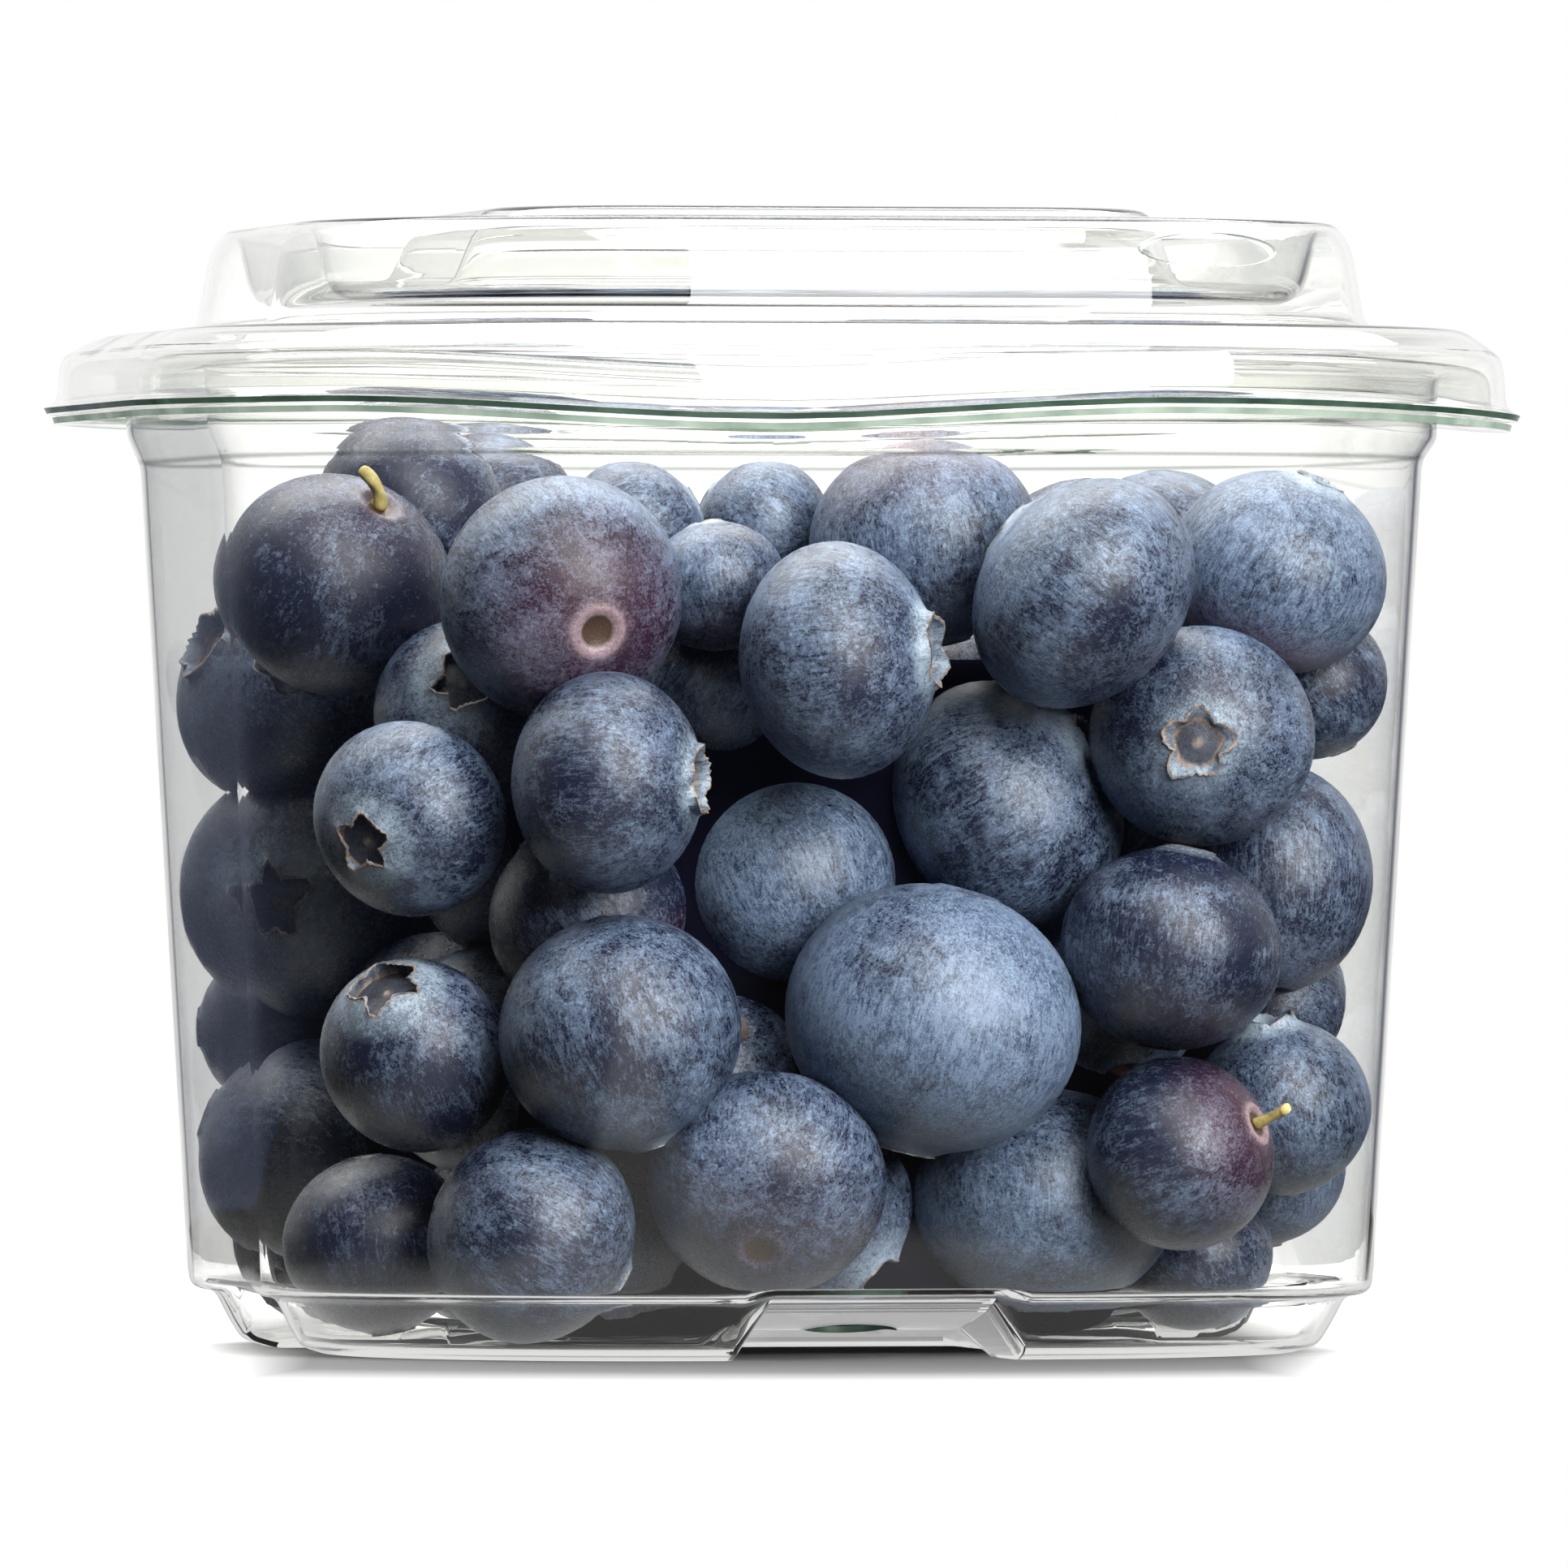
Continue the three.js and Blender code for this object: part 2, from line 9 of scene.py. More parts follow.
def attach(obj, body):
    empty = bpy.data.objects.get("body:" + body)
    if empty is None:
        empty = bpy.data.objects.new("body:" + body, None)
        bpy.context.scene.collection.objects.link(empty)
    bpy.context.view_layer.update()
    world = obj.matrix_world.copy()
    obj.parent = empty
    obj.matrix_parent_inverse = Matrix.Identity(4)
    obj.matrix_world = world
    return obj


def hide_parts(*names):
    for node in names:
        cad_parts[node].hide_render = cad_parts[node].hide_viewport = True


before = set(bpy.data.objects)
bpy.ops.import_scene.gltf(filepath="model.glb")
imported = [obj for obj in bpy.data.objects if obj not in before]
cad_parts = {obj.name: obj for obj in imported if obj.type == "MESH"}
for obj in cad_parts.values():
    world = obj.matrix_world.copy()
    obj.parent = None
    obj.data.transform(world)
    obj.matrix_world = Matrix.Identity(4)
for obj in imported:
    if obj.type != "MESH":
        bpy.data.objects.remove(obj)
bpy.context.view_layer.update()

# A clear plastic punnet, shut with its clear lid and filled with blueberries.
# Sizes are in millimetres and become metres where a mesh is made. +Z is up and the front is -Y.
MM = 0.001

# ---- Camera ----
EYE_DISTANCE = 1800
EYE_HEIGHT = 43.5
VIEW_SIDE = 0.2
VIEW_FRONT = math.sqrt(1 - VIEW_SIDE * VIEW_SIDE)
EYE_ASIDE = 0.56
SENSOR = 36
LENS = 536.6
TOWARDS_EYE = Vector((-VIEW_SIDE, -VIEW_FRONT, 0))
EYE_RIGHT = Vector((VIEW_FRONT, -VIEW_SIDE, 0))
UP = Vector((0, 0, 1))

# ---- Sheet and corners ----
SHEET = 0.5
GAP = 0.3
BEND = 0.6
# A painted dark line round the tub's sheet at its crease, painted shade: its width and its tint.
CREASE_SHADE_WIDTH = 0.3
CREASE_PAINTED_SHADE = (0.4, 0.42, 0.4)
DOME_BEND = 1
INNER_CORNER = 1.4
FLAT_FOOT = 12.6
FLAT_LEDGE = 14.4
FLAT_RIM = 16.4
CORNER_STEPS = 22
BEND_STEPS = 4
BEND_SHARE = 0.45  # the most of a straight run that one bend takes up
LONGEST_STEP = 3.5
LID_SIDE_STEPS = (-10, -5, 5, 10)
SMOOTH_SHEET = 40

# ---- Tints of the sheet: seen square on, turned, aslant and edge on, and in its shadow ----
SQUARE_ON = (0.985, 0.987, 0.973)
TURNED = (0.972, 0.976, 0.958)
TUB_ASLANT = (0.95, 0.958, 0.935)
TUB_EDGE_ON = (0.84, 0.86, 0.83)
LID_ASLANT = (0.88, 0.895, 0.865)
LID_EDGE_ON = (0.66, 0.685, 0.65)
IN_SHADOW = (0.97, 0.975, 0.965)
PLASTIC_IOR = 1.38
RIPPLE_SCALE = 45

# ---- Cut edges of the sheet: the darker and the lighter green of each kind ----
EDGE_DARK = ((0.012, 0.03, 0.02), (0.04, 0.075, 0.05))
EDGE_LIGHT = ((0.12, 0.17, 0.13), (0.26, 0.31, 0.26))
EDGE_PALE = ((0.42, 0.46, 0.42), (0.6, 0.64, 0.6))
EDGE_SCALE = 220
EDGE_FLECKS = (0.35, 0.7)

# ---- Tub ----
PANEL_HALF = 25
PANEL_SLOPE = 2.5
PANEL_LIFT = 0.5
FOOT_HALF = 37.2
FOOT_BEND = 2
FOOT_EDGE_HALF = 40.1
FOOT_TOP_HALF = 41.2
LEDGE_HALF = 43
LEDGE_HEIGHT = 4.5
WALL_TOP_HALF = 46.4
WALL_TOP = 68.1
NECK_HEIGHT = 70.3
RIM_WALL_HALF = 47.6
RIM_HEIGHT = 75.4
TUB_SKIRT_HALF = 51.1
TUB_FLANGE_HALF = 53.1
TUB_FLANGE_HEIGHT = 71.1

# ---- Lid ----
LID_FLANGE_HALF = 53.9
LID_FLANGE_HEIGHT = 72.3
LID_SKIRT_HALF = 52.7
LID_SKIRT_TOP = 76.4
SHOULDER_HALF = 50
SHOULDER_HEIGHT = 78.2
DOME_FOOT_HALF = 42.4
RIDGE_HALF = 39.4
RIDGE_HEIGHT = 86.5
TROUGH_HALF = 36.4
TROUGH_HEIGHT = 80.7
BLOCK_FOOT_HALF = 29.2
BLOCK_TOP_HALF = 25.4
BLOCK_HEIGHT = 87.5

# ---- Rim wave and vents ----
# The flange dips and rises round the pack: the turn from the front, in degrees, and how far.
RIM_BENDS = [
    (-180, -0.3), (-114, 0.3), (-46, 0.3), (-12, -1.1), (21, 0.2), (66, -0.7), (110, 0.3), (180, -0.3),
]
WAVE_LOW = 68.4
WAVE_FULL = 71
WAVE_FADE = 2
SCOOP_ROOF = 8.6
SCOOP_BASE = 11
SCOOP_HEIGHT = 3.7
SCOOP_INNER = 16
VENT_RADIUS = 3.75
VENT_DISTANCE = 27
VENT_SIDES = 48
SLOT_LENGTH = 13
SLOT_WIDTH = 2.6
SLOT_DEPTH = 3
SLOT_HEIGHT = 83.9
SLOT_ACROSS = 26
SLOT_SIDES = 64

# ---- Blueberries ----
# The front row: how far right of the middle, how high and how wide, as seen by the eye; then the
# clock angle and the lean of the crown from the line of sight, in degrees; then how much bloom
# and how much red the skin has, how much flatter than a ball it is from crown to stem, and which
# blank it is copied from. The bloom is partly the berry's own and partly painted light and shade:
# it is raised on berries that catch the light and lowered on shaded ones.
STAR = 0
UPRIGHT = 1
SMALL = 2
TORN = 3
WIDE = 4
FOLDED = 5
FRONT_ROW = [
    (12.2, 25.4, 22.2, 255, 94, 1.35, 0, 0.06, SMALL),
    (-13.1, 43.6, 16.2, 2, 76, 0.28, 0.05, 0.1, TORN),
    (4.8, 52.9, 16.9, 7, 78, 0.6, 0, 0.14, UPRIGHT),
    (23.6, 58.2, 17.6, 140, 95, 0.65, 0.05, 0.16, SMALL),
    (-28.3, 40.8, 14.6, 209, 36, 0.5, 0.1, 0.05, FOLDED),
    (-12, 24.4, 18.6, 290, 95, 0.6, 0, -0.02, SMALL),
    (-34.1, 58.7, 17.8, 240, 118, -0.1, 0.1, 0.02, UPRIGHT),
    (-16.7, 57.9, 18.2, 138, 151, 0.5, 0.5, 0.06, SMALL),
    (32.7, 47.3, 17, 233, 6, 0.6, 0.05, 0, STAR),
    (17.7, 42, 18.8, 33, 74, 0.75, 0.05, 0.1, TORN),
    (38.6, 59.8, 16.5, 66, 84, 1, 0.9, 0, SMALL),
    (-18.9, 8.7, 16.6, 330, 96, 0.5, 0, 0, SMALL),
    (-0.9, 10.9, 17.6, 85, 139, 0.5, 0.1, 0.07, UPRIGHT),
    (-27.8, 22.5, 15.4, 112, 52, 0.25, 0, -0.14, WIDE),
    (31.1, 15.1, 14.8, 202, 115, 0.1, 0.5, 0, UPRIGHT),
    (30.5, 30.8, 16.6, 80, 95, 0.1, 0.1, 0.05, SMALL),
    (-30.7, 8.1, 14.2, 280, 95, -0.1, 0, 0, SMALL),
    (20.2, 8.9, 19.8, 90, 94, 1.1, 0, 0.16, SMALL),
    (0.8, 36, 17.4, 110, 95, 1.2, 0, -0.05, SMALL),
    (11.4, 62.3, 17.2, 280, 96, 0.75, 0.3, 0.05, SMALL),
    (-38.9, 51.2, 16.8, 150, 66, 0.5, 0, 0.18, TORN),
    (-37.8, 35, 17, 190, 22, 0.3, 0, 0.26, FOLDED),
    (-37, 15.4, 16.5, 160, 98, 0.3, 0, 0.06, SMALL),
    (39.2, 18.6, 13.8, 100, 80, 0.7, 0, -0.05, UPRIGHT),
    (38.6, 36.2, 17, 90, 98, 0.45, 0.1, -0.2, SMALL),
    (-4.7, 58.7, 10.6, 100, 96, 0.7, 0.4, 0.04, SMALL),
    (-5.4, 50.1, 13, 60, 96, 0.6, 0.1, 0.04, SMALL),
    (-10.9, 62.6, 11.4, 30, 96, 0.7, 0.1, 0.04, SMALL),
    (-1.1, 63, 10.8, 150, 96, 0.8, 0, 0.04, SMALL),
    (-28.3, 64.4, 15, 45, 98, 0, 0.1, 0.04, SMALL),
    (42.4, 51.1, 12, 300, 110, 0.4, 0.1, 0.04, SMALL),
    (32.4, 6.6, 11.6, 300, 96, 0.35, 0, 0.04, SMALL),
    (38.2, 14.2, 13.2, 270, 100, 0.6, 0, 0.04, SMALL),
    (-41.4, 24.8, 12, 180, 96, 0, 0, 0.04, SMALL),
    (-23.6, 48.9, 14.6, 103, 22, 0.4, 0, 0.04, FOLDED),
    (-14.5, 33.4, 15.6, 120, 96, 0.25, 0.5, 0.04, SMALL),
]
# Each stem, a hooked and a straight one: its berry's place in the front row, its length, how far
# its tip bends away, and its radii from foot to tip.
STEMS = (
    (6, 3.3, UP * 0.6 - EYE_RIGHT * 2.8, (0.8, 0.68, 0.56, 0.52, 0.54, 0.6, 0.5)),
    (14, 3.4, UP * 0.3, (0.6, 0.46, 0.4, 0.38, 0.4, 0.46, 0.4)),
)
STEM_SIDES = 10
STEM_SUNK = 0.06
STEM_UNEVEN = 0.15
STEM_RIDGES = 3
SMOOTH_STEM = 60
NEAREST = 60
FARTHEST = -30
NEAR_STEP = 0.25
PULL_STEPS = 12
PULL_STEP = 0.01

FILL_RADIUS_SMALL = 6.7
FILL_RADIUS_RANGE = 2.6
FILL_STEP = 14.6
FILL_REACH = 3
FILL_LOW = 8.3
FILL_LAYER = 12
FILL_TOP = 63
FILL_JITTER = 7
FILL_SEED = 20
DRAW_FACTOR = 16807
DRAW_RANGE = 2147483647
SETTLE_ROUNDS = 240
SETTLE_DROP = 0.12
BERRY_PRESS = 0.965
FRONT_PRESS = 0.93
START_PRESS = 0.7
HIDE_SHARE = 0.85
CLEAR_STEP = 0.5
TINY = 1e-9
BERRY_FLAT = 15
FOOT_NARROW = 1.6
FOOT_RISE = 9
CORE_INSET = 17
CORE_LOW = 1.4
CORE_HIGH = 53
CORE_BEVEL = 5
CORE_BEVEL_STEPS = 4

STYLE_SEED = 7
REST_BLOOM = (0.1, 0.65)
REST_RED = (0, 0, 0.1, 0.4)
REST_FLAT = (-0.04, 0.1)
OWN_RANGE = 60  # how far apart the berries lie in the pattern of the skin
SMOOTH_BERRY = 55

# ---- Studio ----
def grey(value):
    return (value, value, value)


BLACK = grey(0)
WHITE = grey(1)
FLOOR_RADIUS = 0.3
FLOOR_SIDES = 96
# Painted shade under the pack, a shadow painted into the floor's colour: how far to either side,
# and how far from the middle, it begins to fade and is gone.
SHADE_HALF = (0.036, 0.046)
SHADE_REACH = (0.07, 0.17)
FLOOR_SHADE = grey(0.135)
FLOOR_BESIDE = grey(0.85)
# The floor's painted glow, a painted reflection that the gloss shows in place of the lit floor:
# near by, farther off, and behind the pack.
NEAR_REACH = (0.06, 0.1)
NEAR_PAINTED_GLOW = grey(0.75)
DIM_PAINTED_GLOW = grey(0.03)
BEHIND_HALF = (0.06, 0.07)
BEHIND_SPREAD = 0.2
BEHIND_PAINTED_GLOW = grey(0.7)
# The sky as the gloss shows it, from in front of the pack (0) to behind it (1), low and high.
LOW_IN_GLOSS = (
    (0, (0.026, 0.03, 0.05)), (0.945, (0.05, 0.06, 0.1)), (0.965, grey(0.6)), (1, WHITE),
)
HIGH_IN_GLOSS = ((0, grey(0.06)), (0.4, grey(0.8)), (1, WHITE))
HORIZON = 0.02
TWICE_REFLECTED = grey(0.5)
# The backdrop through the pack is brighter than white, so that it stays white behind the plastic.
BACKDROP = grey(1.42)
THROUGH_PACK = ((0, WHITE), (0.25, WHITE), (0.7, grey(0.5)))
LIT_SIDE = (EYE_RIGHT * 0.35 + UP * 0.75 + TOWARDS_EYE * 0.55).normalized()
SKY_LIGHT = grey(1.1)
UNLIT = grey(0.35)
# A ray's depth is over ONCE after one bounce of a kind and over TWICE after two; a ray that has
# gone through both sides of two sheets is over THROUGH_SHEET.
ONCE = 0.5
TWICE = 1.5
THROUGH_SHEET = 3.5
# Soft boxes that face the middle of the pack: name, place, width, height and power.
LIGHT_TARGET = (0, 0, 0.04)
SOFT_BOXES = (
    ("light_top", (-0.05, 0.42, 0.84), 1.3, 0.6, 20),
    ("light_front", (0.38, -0.9, 0.36), 0.55, 0.5, 15),
    ("light_over", (0, -0.55, 0.8), 0.55, 0.4, 8),
)


# ---- Small helpers ----
def mix(a, b, share_of_b):
    return a + (b - a) * share_of_b


def share(value, low, high):
    return min(max((value - low) / (high - low), 0), 1)


def ease(value):
    return value * value * (3 - 2 * value)


def deselect_all():
    bpy.ops.object.select_all(action="DESELECT")


def pick(*objects):
    deselect_all()
    for thing in objects:
        thing.select_set(True)
    bpy.context.view_layer.objects.active = objects[0]


def edit(thing):
    pick(thing)
    bpy.ops.object.mode_set(mode="EDIT")
    bpy.ops.mesh.select_all(action="DESELECT")
    return bmesh.from_edit_mesh(thing.data)


def leave_edit():
    bpy.ops.object.mode_set(mode="OBJECT")


def face_out():
    """Points every face of the piece that is being edited outwards and leaves edit mode."""
    bpy.ops.mesh.select_all(action="SELECT")
    bpy.ops.mesh.normals_make_consistent(inside=False)
    leave_edit()


def apply_modifier(thing, kind, **settings):
    pick(thing)
    modifier = thing.modifiers.new(kind.title(), kind)
    for key, value in settings.items():
        setattr(modifier, key, value)
    bpy.ops.object.modifier_apply(modifier=modifier.name)


def shade_smooth(thing, angle):
    pick(thing)
    bpy.ops.object.shade_smooth_by_angle(angle=math.radians(angle))


def coat(thing, *materials):
    for material in materials:
        thing.data.materials.append(material)


def finish_piece(thing, slot, *nodes):
    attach(thing, "root")
    if nodes:
        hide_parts(*nodes)


# ---- Stations of the two sheets: half width, half straight run, height ----
def wall_stations():
    return [
        (FLAT_FOOT + INNER_CORNER, FLAT_FOOT, PANEL_LIFT),
        (PANEL_HALF, FLAT_FOOT, PANEL_LIFT),
        (PANEL_HALF + PANEL_SLOPE, FLAT_FOOT, 0),
        (FOOT_HALF, FLAT_FOOT, 0),
        (FOOT_HALF + FOOT_BEND, FLAT_FOOT, BEND),
        (FOOT_EDGE_HALF, FLAT_FOOT, FOOT_BEND),
        (FOOT_TOP_HALF, FLAT_FOOT + BEND, LEDGE_HEIGHT - BEND / 3),
        (LEDGE_HALF - BEND, FLAT_LEDGE, LEDGE_HEIGHT),
        (LEDGE_HALF, FLAT_LEDGE, LEDGE_HEIGHT + BEND),
        (WALL_TOP_HALF, FLAT_RIM, WALL_TOP),
        (RIM_WALL_HALF - BEND / 6, FLAT_RIM, NECK_HEIGHT),
        (RIM_WALL_HALF, FLAT_RIM, RIM_HEIGHT - BEND),
    ]


def rim_stations():
    return [
        (RIM_WALL_HALF + BEND, FLAT_RIM, RIM_HEIGHT),
        (TUB_SKIRT_HALF - BEND, FLAT_RIM, RIM_HEIGHT),
        (TUB_SKIRT_HALF, FLAT_RIM, RIM_HEIGHT - BEND),
        (TUB_SKIRT_HALF + BEND / 6, FLAT_RIM, TUB_FLANGE_HEIGHT + BEND),
        (TUB_FLANGE_HALF, FLAT_RIM, TUB_FLANGE_HEIGHT),
    ]


def lid_stations():
    return [
        (FLAT_LEDGE + INNER_CORNER, FLAT_LEDGE, BLOCK_HEIGHT),
        (BLOCK_TOP_HALF, FLAT_LEDGE, BLOCK_HEIGHT - BEND / 6),
        (BLOCK_TOP_HALF + DOME_BEND, FLAT_LEDGE, BLOCK_HEIGHT - DOME_BEND),
        (BLOCK_FOOT_HALF - DOME_BEND, FLAT_LEDGE, TROUGH_HEIGHT + BEND),
        (BLOCK_FOOT_HALF, FLAT_LEDGE, TROUGH_HEIGHT),
        (TROUGH_HALF, FLAT_LEDGE, TROUGH_HEIGHT),
        (TROUGH_HALF + DOME_BEND, FLAT_LEDGE, TROUGH_HEIGHT + DOME_BEND),
        (RIDGE_HALF - DOME_BEND, FLAT_LEDGE, RIDGE_HEIGHT - BEND),
        (RIDGE_HALF + BEND, FLAT_LEDGE, RIDGE_HEIGHT),
        (DOME_FOOT_HALF - DOME_BEND, FLAT_LEDGE, RIDGE_HEIGHT - 2 * DOME_BEND),
        (DOME_FOOT_HALF, FLAT_LEDGE, SHOULDER_HEIGHT + BEND),
        (DOME_FOOT_HALF + DOME_BEND, FLAT_LEDGE, SHOULDER_HEIGHT),
        (SHOULDER_HALF - DOME_BEND, FLAT_RIM, SHOULDER_HEIGHT),
        (SHOULDER_HALF, FLAT_RIM, SHOULDER_HEIGHT - BEND / 2),
        (LID_SKIRT_HALF - 2 * BEND, FLAT_RIM, LID_SKIRT_TOP + BEND),
        (LID_SKIRT_HALF - BEND / 2, FLAT_RIM, LID_SKIRT_TOP),
        (LID_SKIRT_HALF, FLAT_RIM, LID_SKIRT_TOP - DOME_BEND),
        (LID_SKIRT_HALF + BEND / 6, FLAT_RIM, LID_FLANGE_HEIGHT + BEND),
        (LID_FLANGE_HALF, FLAT_RIM, LID_FLANGE_HEIGHT),
    ]


def rounded(stations, reach):
    """The same stations with each bend made a short curve that starts within reach of it."""
    points = [Vector(point) for point in stations]
    curve = [points[0]]
    for before, bend, after in zip(points, points[1:], points[2:]):
        back = before - bend
        ahead = after - bend
        start = bend + back * min(reach / back.length, BEND_SHARE)
        end = bend + ahead * min(reach / ahead.length, BEND_SHARE)
        for i in range(BEND_STEPS + 1):
            t = i / BEND_STEPS
            curve.append(start.lerp(bend, t).lerp(bend.lerp(end, t), t))
    curve.append(points[-1])
    return curve


def stepped(stations):
    """The same stations with long runs cut into steps."""
    fine = [stations[0]]
    for before, after in zip(stations, stations[1:]):
        parts = max(math.ceil((after - before).length / LONGEST_STEP), 1)
        fine += [before.lerp(after, (i + 1) / parts) for i in range(parts)]
    return fine


# ---- Shape functions ----
def scoop_lift(x, y):
    out = max(abs(x), abs(y))
    along = min(abs(x), abs(y))
    rise = share(out, SCOOP_INNER, FOOT_HALF)
    return SCOOP_HEIGHT * rise * (1 - share(along, SCOOP_ROOF, SCOOP_BASE))


def rim_wave(x, y):
    turn = math.degrees(math.atan2(x, -y))
    for (before, low), (after, high) in zip(RIM_BENDS, RIM_BENDS[1:]):
        if turn <= after:
            return mix(low, high, ease(share(turn, before, after)))
    return RIM_BENDS[-1][1]


def tub_height(x, y, z):
    scoop = scoop_lift(x, y) * (1 - share(z, SHEET, LEDGE_HEIGHT + BEND))
    return z + scoop + rim_wave(x, y) * share(z, WAVE_LOW, WAVE_FULL)


def lid_height(x, y, z):
    return z + rim_wave(x, y) * (1 - share(z, LID_SKIRT_TOP - WAVE_FADE, SHOULDER_HEIGHT))


# ---- Sheets drawn out ring by ring ----
def ring_outline(half, flat, side_steps):
    radius = half - flat
    quarter = [Vector((step, -half)) for step in (-flat, *side_steps)]
    for i in range(CORNER_STEPS):
        turn = i / CORNER_STEPS * math.pi / 2
        quarter.append(Vector((flat + radius * math.sin(turn), -flat - radius * math.cos(turn))))
    turns = [Matrix.Rotation(corner * math.pi / 2, 2) for corner in range(4)]
    return [turn @ point for turn in turns for point in quarter]


def set_ring(verts, place, here, height_at, side_steps):
    outline = ring_outline(here.x, here.y, side_steps)
    for vert in verts:
        x, y = outline[vert[place]]
        vert.co = Vector((x, y, height_at(x, y, here.z))) * MM


def draw_sheet(name, stations, height_at, side_steps):
    """A skin drawn out from its middle: each new ring is extruded from the edge of the last."""
    start, *rest = stations
    outline = ring_outline(start.x, start.y, side_steps)
    bpy.ops.mesh.primitive_circle_add(vertices=len(outline), radius=start.x * MM, fill_type="TRIFAN")
    skin = bpy.context.object
    skin.name = name
    mesh = edit(skin)
    place = mesh.verts.layers.int.new("place")
    by_turn = sorted(range(len(outline)), key=lambda k: math.atan2(outline[k].y, outline[k].x))
    rim = [vert for vert in mesh.verts if vert.is_boundary]
    rim.sort(key=lambda vert: math.atan2(vert.co.y, vert.co.x))
    for vert, k in zip(rim, by_turn):
        vert[place] = k
        vert.select = True
    for vert in mesh.verts:
        if not vert.is_boundary:
            vert.co = Vector((0, 0, height_at(0, 0, start.z))) * MM
    set_ring(rim, place, start, height_at, side_steps)
    mesh.select_flush(True)
    for here in rest:
        bpy.ops.mesh.extrude_region_move()
        mesh = bmesh.from_edit_mesh(skin.data)
        place = mesh.verts.layers.int["place"]
        ring = [vert for vert in mesh.verts if vert.select]
        set_ring(ring, place, here, height_at, side_steps)
    face_out()
    skin.data.attributes.remove(skin.data.attributes["place"])
    return skin


def face_away(skin, up):
    """Turns the skin's faces over if its middle doesn't face the given way, +1 up or -1 down."""
    middle = min(skin.data.polygons, key=lambda face: face.center.xy.length)
    if middle.normal.z * up < 0:
        edit(skin)
        bpy.ops.mesh.select_all(action="SELECT")
        bpy.ops.mesh.flip_normals()
        leave_edit()


def thicken(skin):
    apply_modifier(
        skin, "SOLIDIFY", thickness=SHEET * MM, offset=-1, use_even_offset=True,
        use_quality_normals=True, material_offset_rim=1,
    )


def cut_hole(thing, cutter):
    """Takes the cutter away from a sheet; the faces that it leaves take the sheet's last material."""
    for material in thing.data.materials:
        cutter.data.materials.append(material)
    for face in cutter.data.polygons:
        face.material_index = len(thing.data.materials) - 1
    apply_modifier(thing, "BOOLEAN", object=cutter, operation="DIFFERENCE", solver="EXACT")
    bpy.data.objects.remove(cutter)


def vent_cutter(side):
    bpy.ops.mesh.primitive_cylinder_add(
        vertices=VENT_SIDES, radius=VENT_RADIUS * MM, depth=3 * LEDGE_HEIGHT * MM,
        location=Matrix.Rotation(side * math.pi / 2, 3, "Z") @ Vector((0, -VENT_DISTANCE, 0)) * MM,
    )
    return bpy.context.object


def slot_cutter():
    corner = DOME_FOOT_HALF - FLAT_LEDGE - BEND
    turn = math.asin((SLOT_ACROSS - FLAT_LEDGE) / corner)
    bpy.ops.mesh.primitive_cylinder_add(
        vertices=SLOT_SIDES, radius=SLOT_WIDTH / 2 * MM, depth=SLOT_DEPTH * MM,
    )
    cutter = bpy.context.object
    stretch = Matrix.Diagonal((SLOT_LENGTH / SLOT_WIDTH, 1, 1, 1))
    lie = Matrix.Rotation(math.pi / 2, 4, "X")
    place = Matrix.Translation(Vector((FLAT_LEDGE, -FLAT_LEDGE, SLOT_HEIGHT)) * MM)
    out = Matrix.Translation(Vector((0, -corner, 0)) * MM)
    cutter.data.transform(place @ Matrix.Rotation(turn, 4, "Z") @ out @ stretch @ lie)
    return cutter


def tub():
    edges = (SCOOP_BASE, mix(SCOOP_BASE, SCOOP_ROOF, 0.5), SCOOP_ROOF, SCOOP_ROOF / 2)
    side_steps = [-step for step in edges] + [step for step in reversed(edges)]
    stations = stepped(rounded(wall_stations() + rim_stations(), BEND))
    skin = draw_sheet("tub_shell", stations, tub_height, side_steps)
    face_away(skin, -1)
    coat(
        skin,
        clear_plastic("clear_sheet_tub", TUB_ASLANT, TUB_EDGE_ON, WALL_TOP + BEND / 2),
        cut_edge("cut_edge_tub", EDGE_LIGHT),
        cut_edge("vent_edge", EDGE_DARK),
    )
    thicken(skin)
    for side in range(4):
        cut_hole(skin, vent_cutter(side))
    shade_smooth(skin, SMOOTH_SHEET)
    finish_piece(skin, "tub", "tub")
    return skin


def lid():
    stations = stepped(rounded(lid_stations(), DOME_BEND))
    skin = draw_sheet("lid_shell", stations, lid_height, LID_SIDE_STEPS)
    face_away(skin, 1)
    coat(
        skin,
        clear_plastic("clear_sheet_lid", LID_ASLANT, LID_EDGE_ON),
        cut_edge("cut_edge_lid", EDGE_DARK),
        cut_edge("slot_edge", EDGE_PALE),
    )
    thicken(skin)
    cut_hole(skin, slot_cutter())
    shade_smooth(skin, SMOOTH_SHEET)
    finish_piece(skin, "lid", "lid")
    return skin


# ---- Where the blueberries lie ----
def space_half(z):
    wall = mix(LEDGE_HALF, WALL_TOP_HALF, share(z, LEDGE_HEIGHT, WALL_TOP))
    foot = 1 - share(z, LEDGE_HEIGHT, LEDGE_HEIGHT + FOOT_RISE)
    return wall - SHEET - GAP - FOOT_NARROW * foot


def past_flat(x, y):
    """How far a place lies past the walls' flat middles, along X, along Y and in all."""
    a = max(abs(x) - BERRY_FLAT, 0)
    b = max(abs(y) - BERRY_FLAT, 0)
    return a, b, math.sqrt(a * a + b * b)


def wall_excess(x, y, z, radius):
    return past_flat(x, y)[2] - (space_half(z) - radius - BERRY_FLAT)


def floor_height(x, y):
    return SHEET + GAP + PANEL_LIFT + scoop_lift(x, y)


class Berry:
    def __init__(self, x, y, z, radius, fixed):
        self.x = x
        self.y = y
        self.z = z
        self.radius = radius
        self.fixed = fixed


def way_between(a, b):
    return b.x - a.x, b.y - a.y, b.z - a.z


def overlaps(berry, others, press):
    for other in others:
        dx, dy, dz = way_between(other, berry)
        reach = press * (berry.radius + other.radius)
        if dx * dx + dy * dy + dz * dz < reach * reach:
            return True
    return False


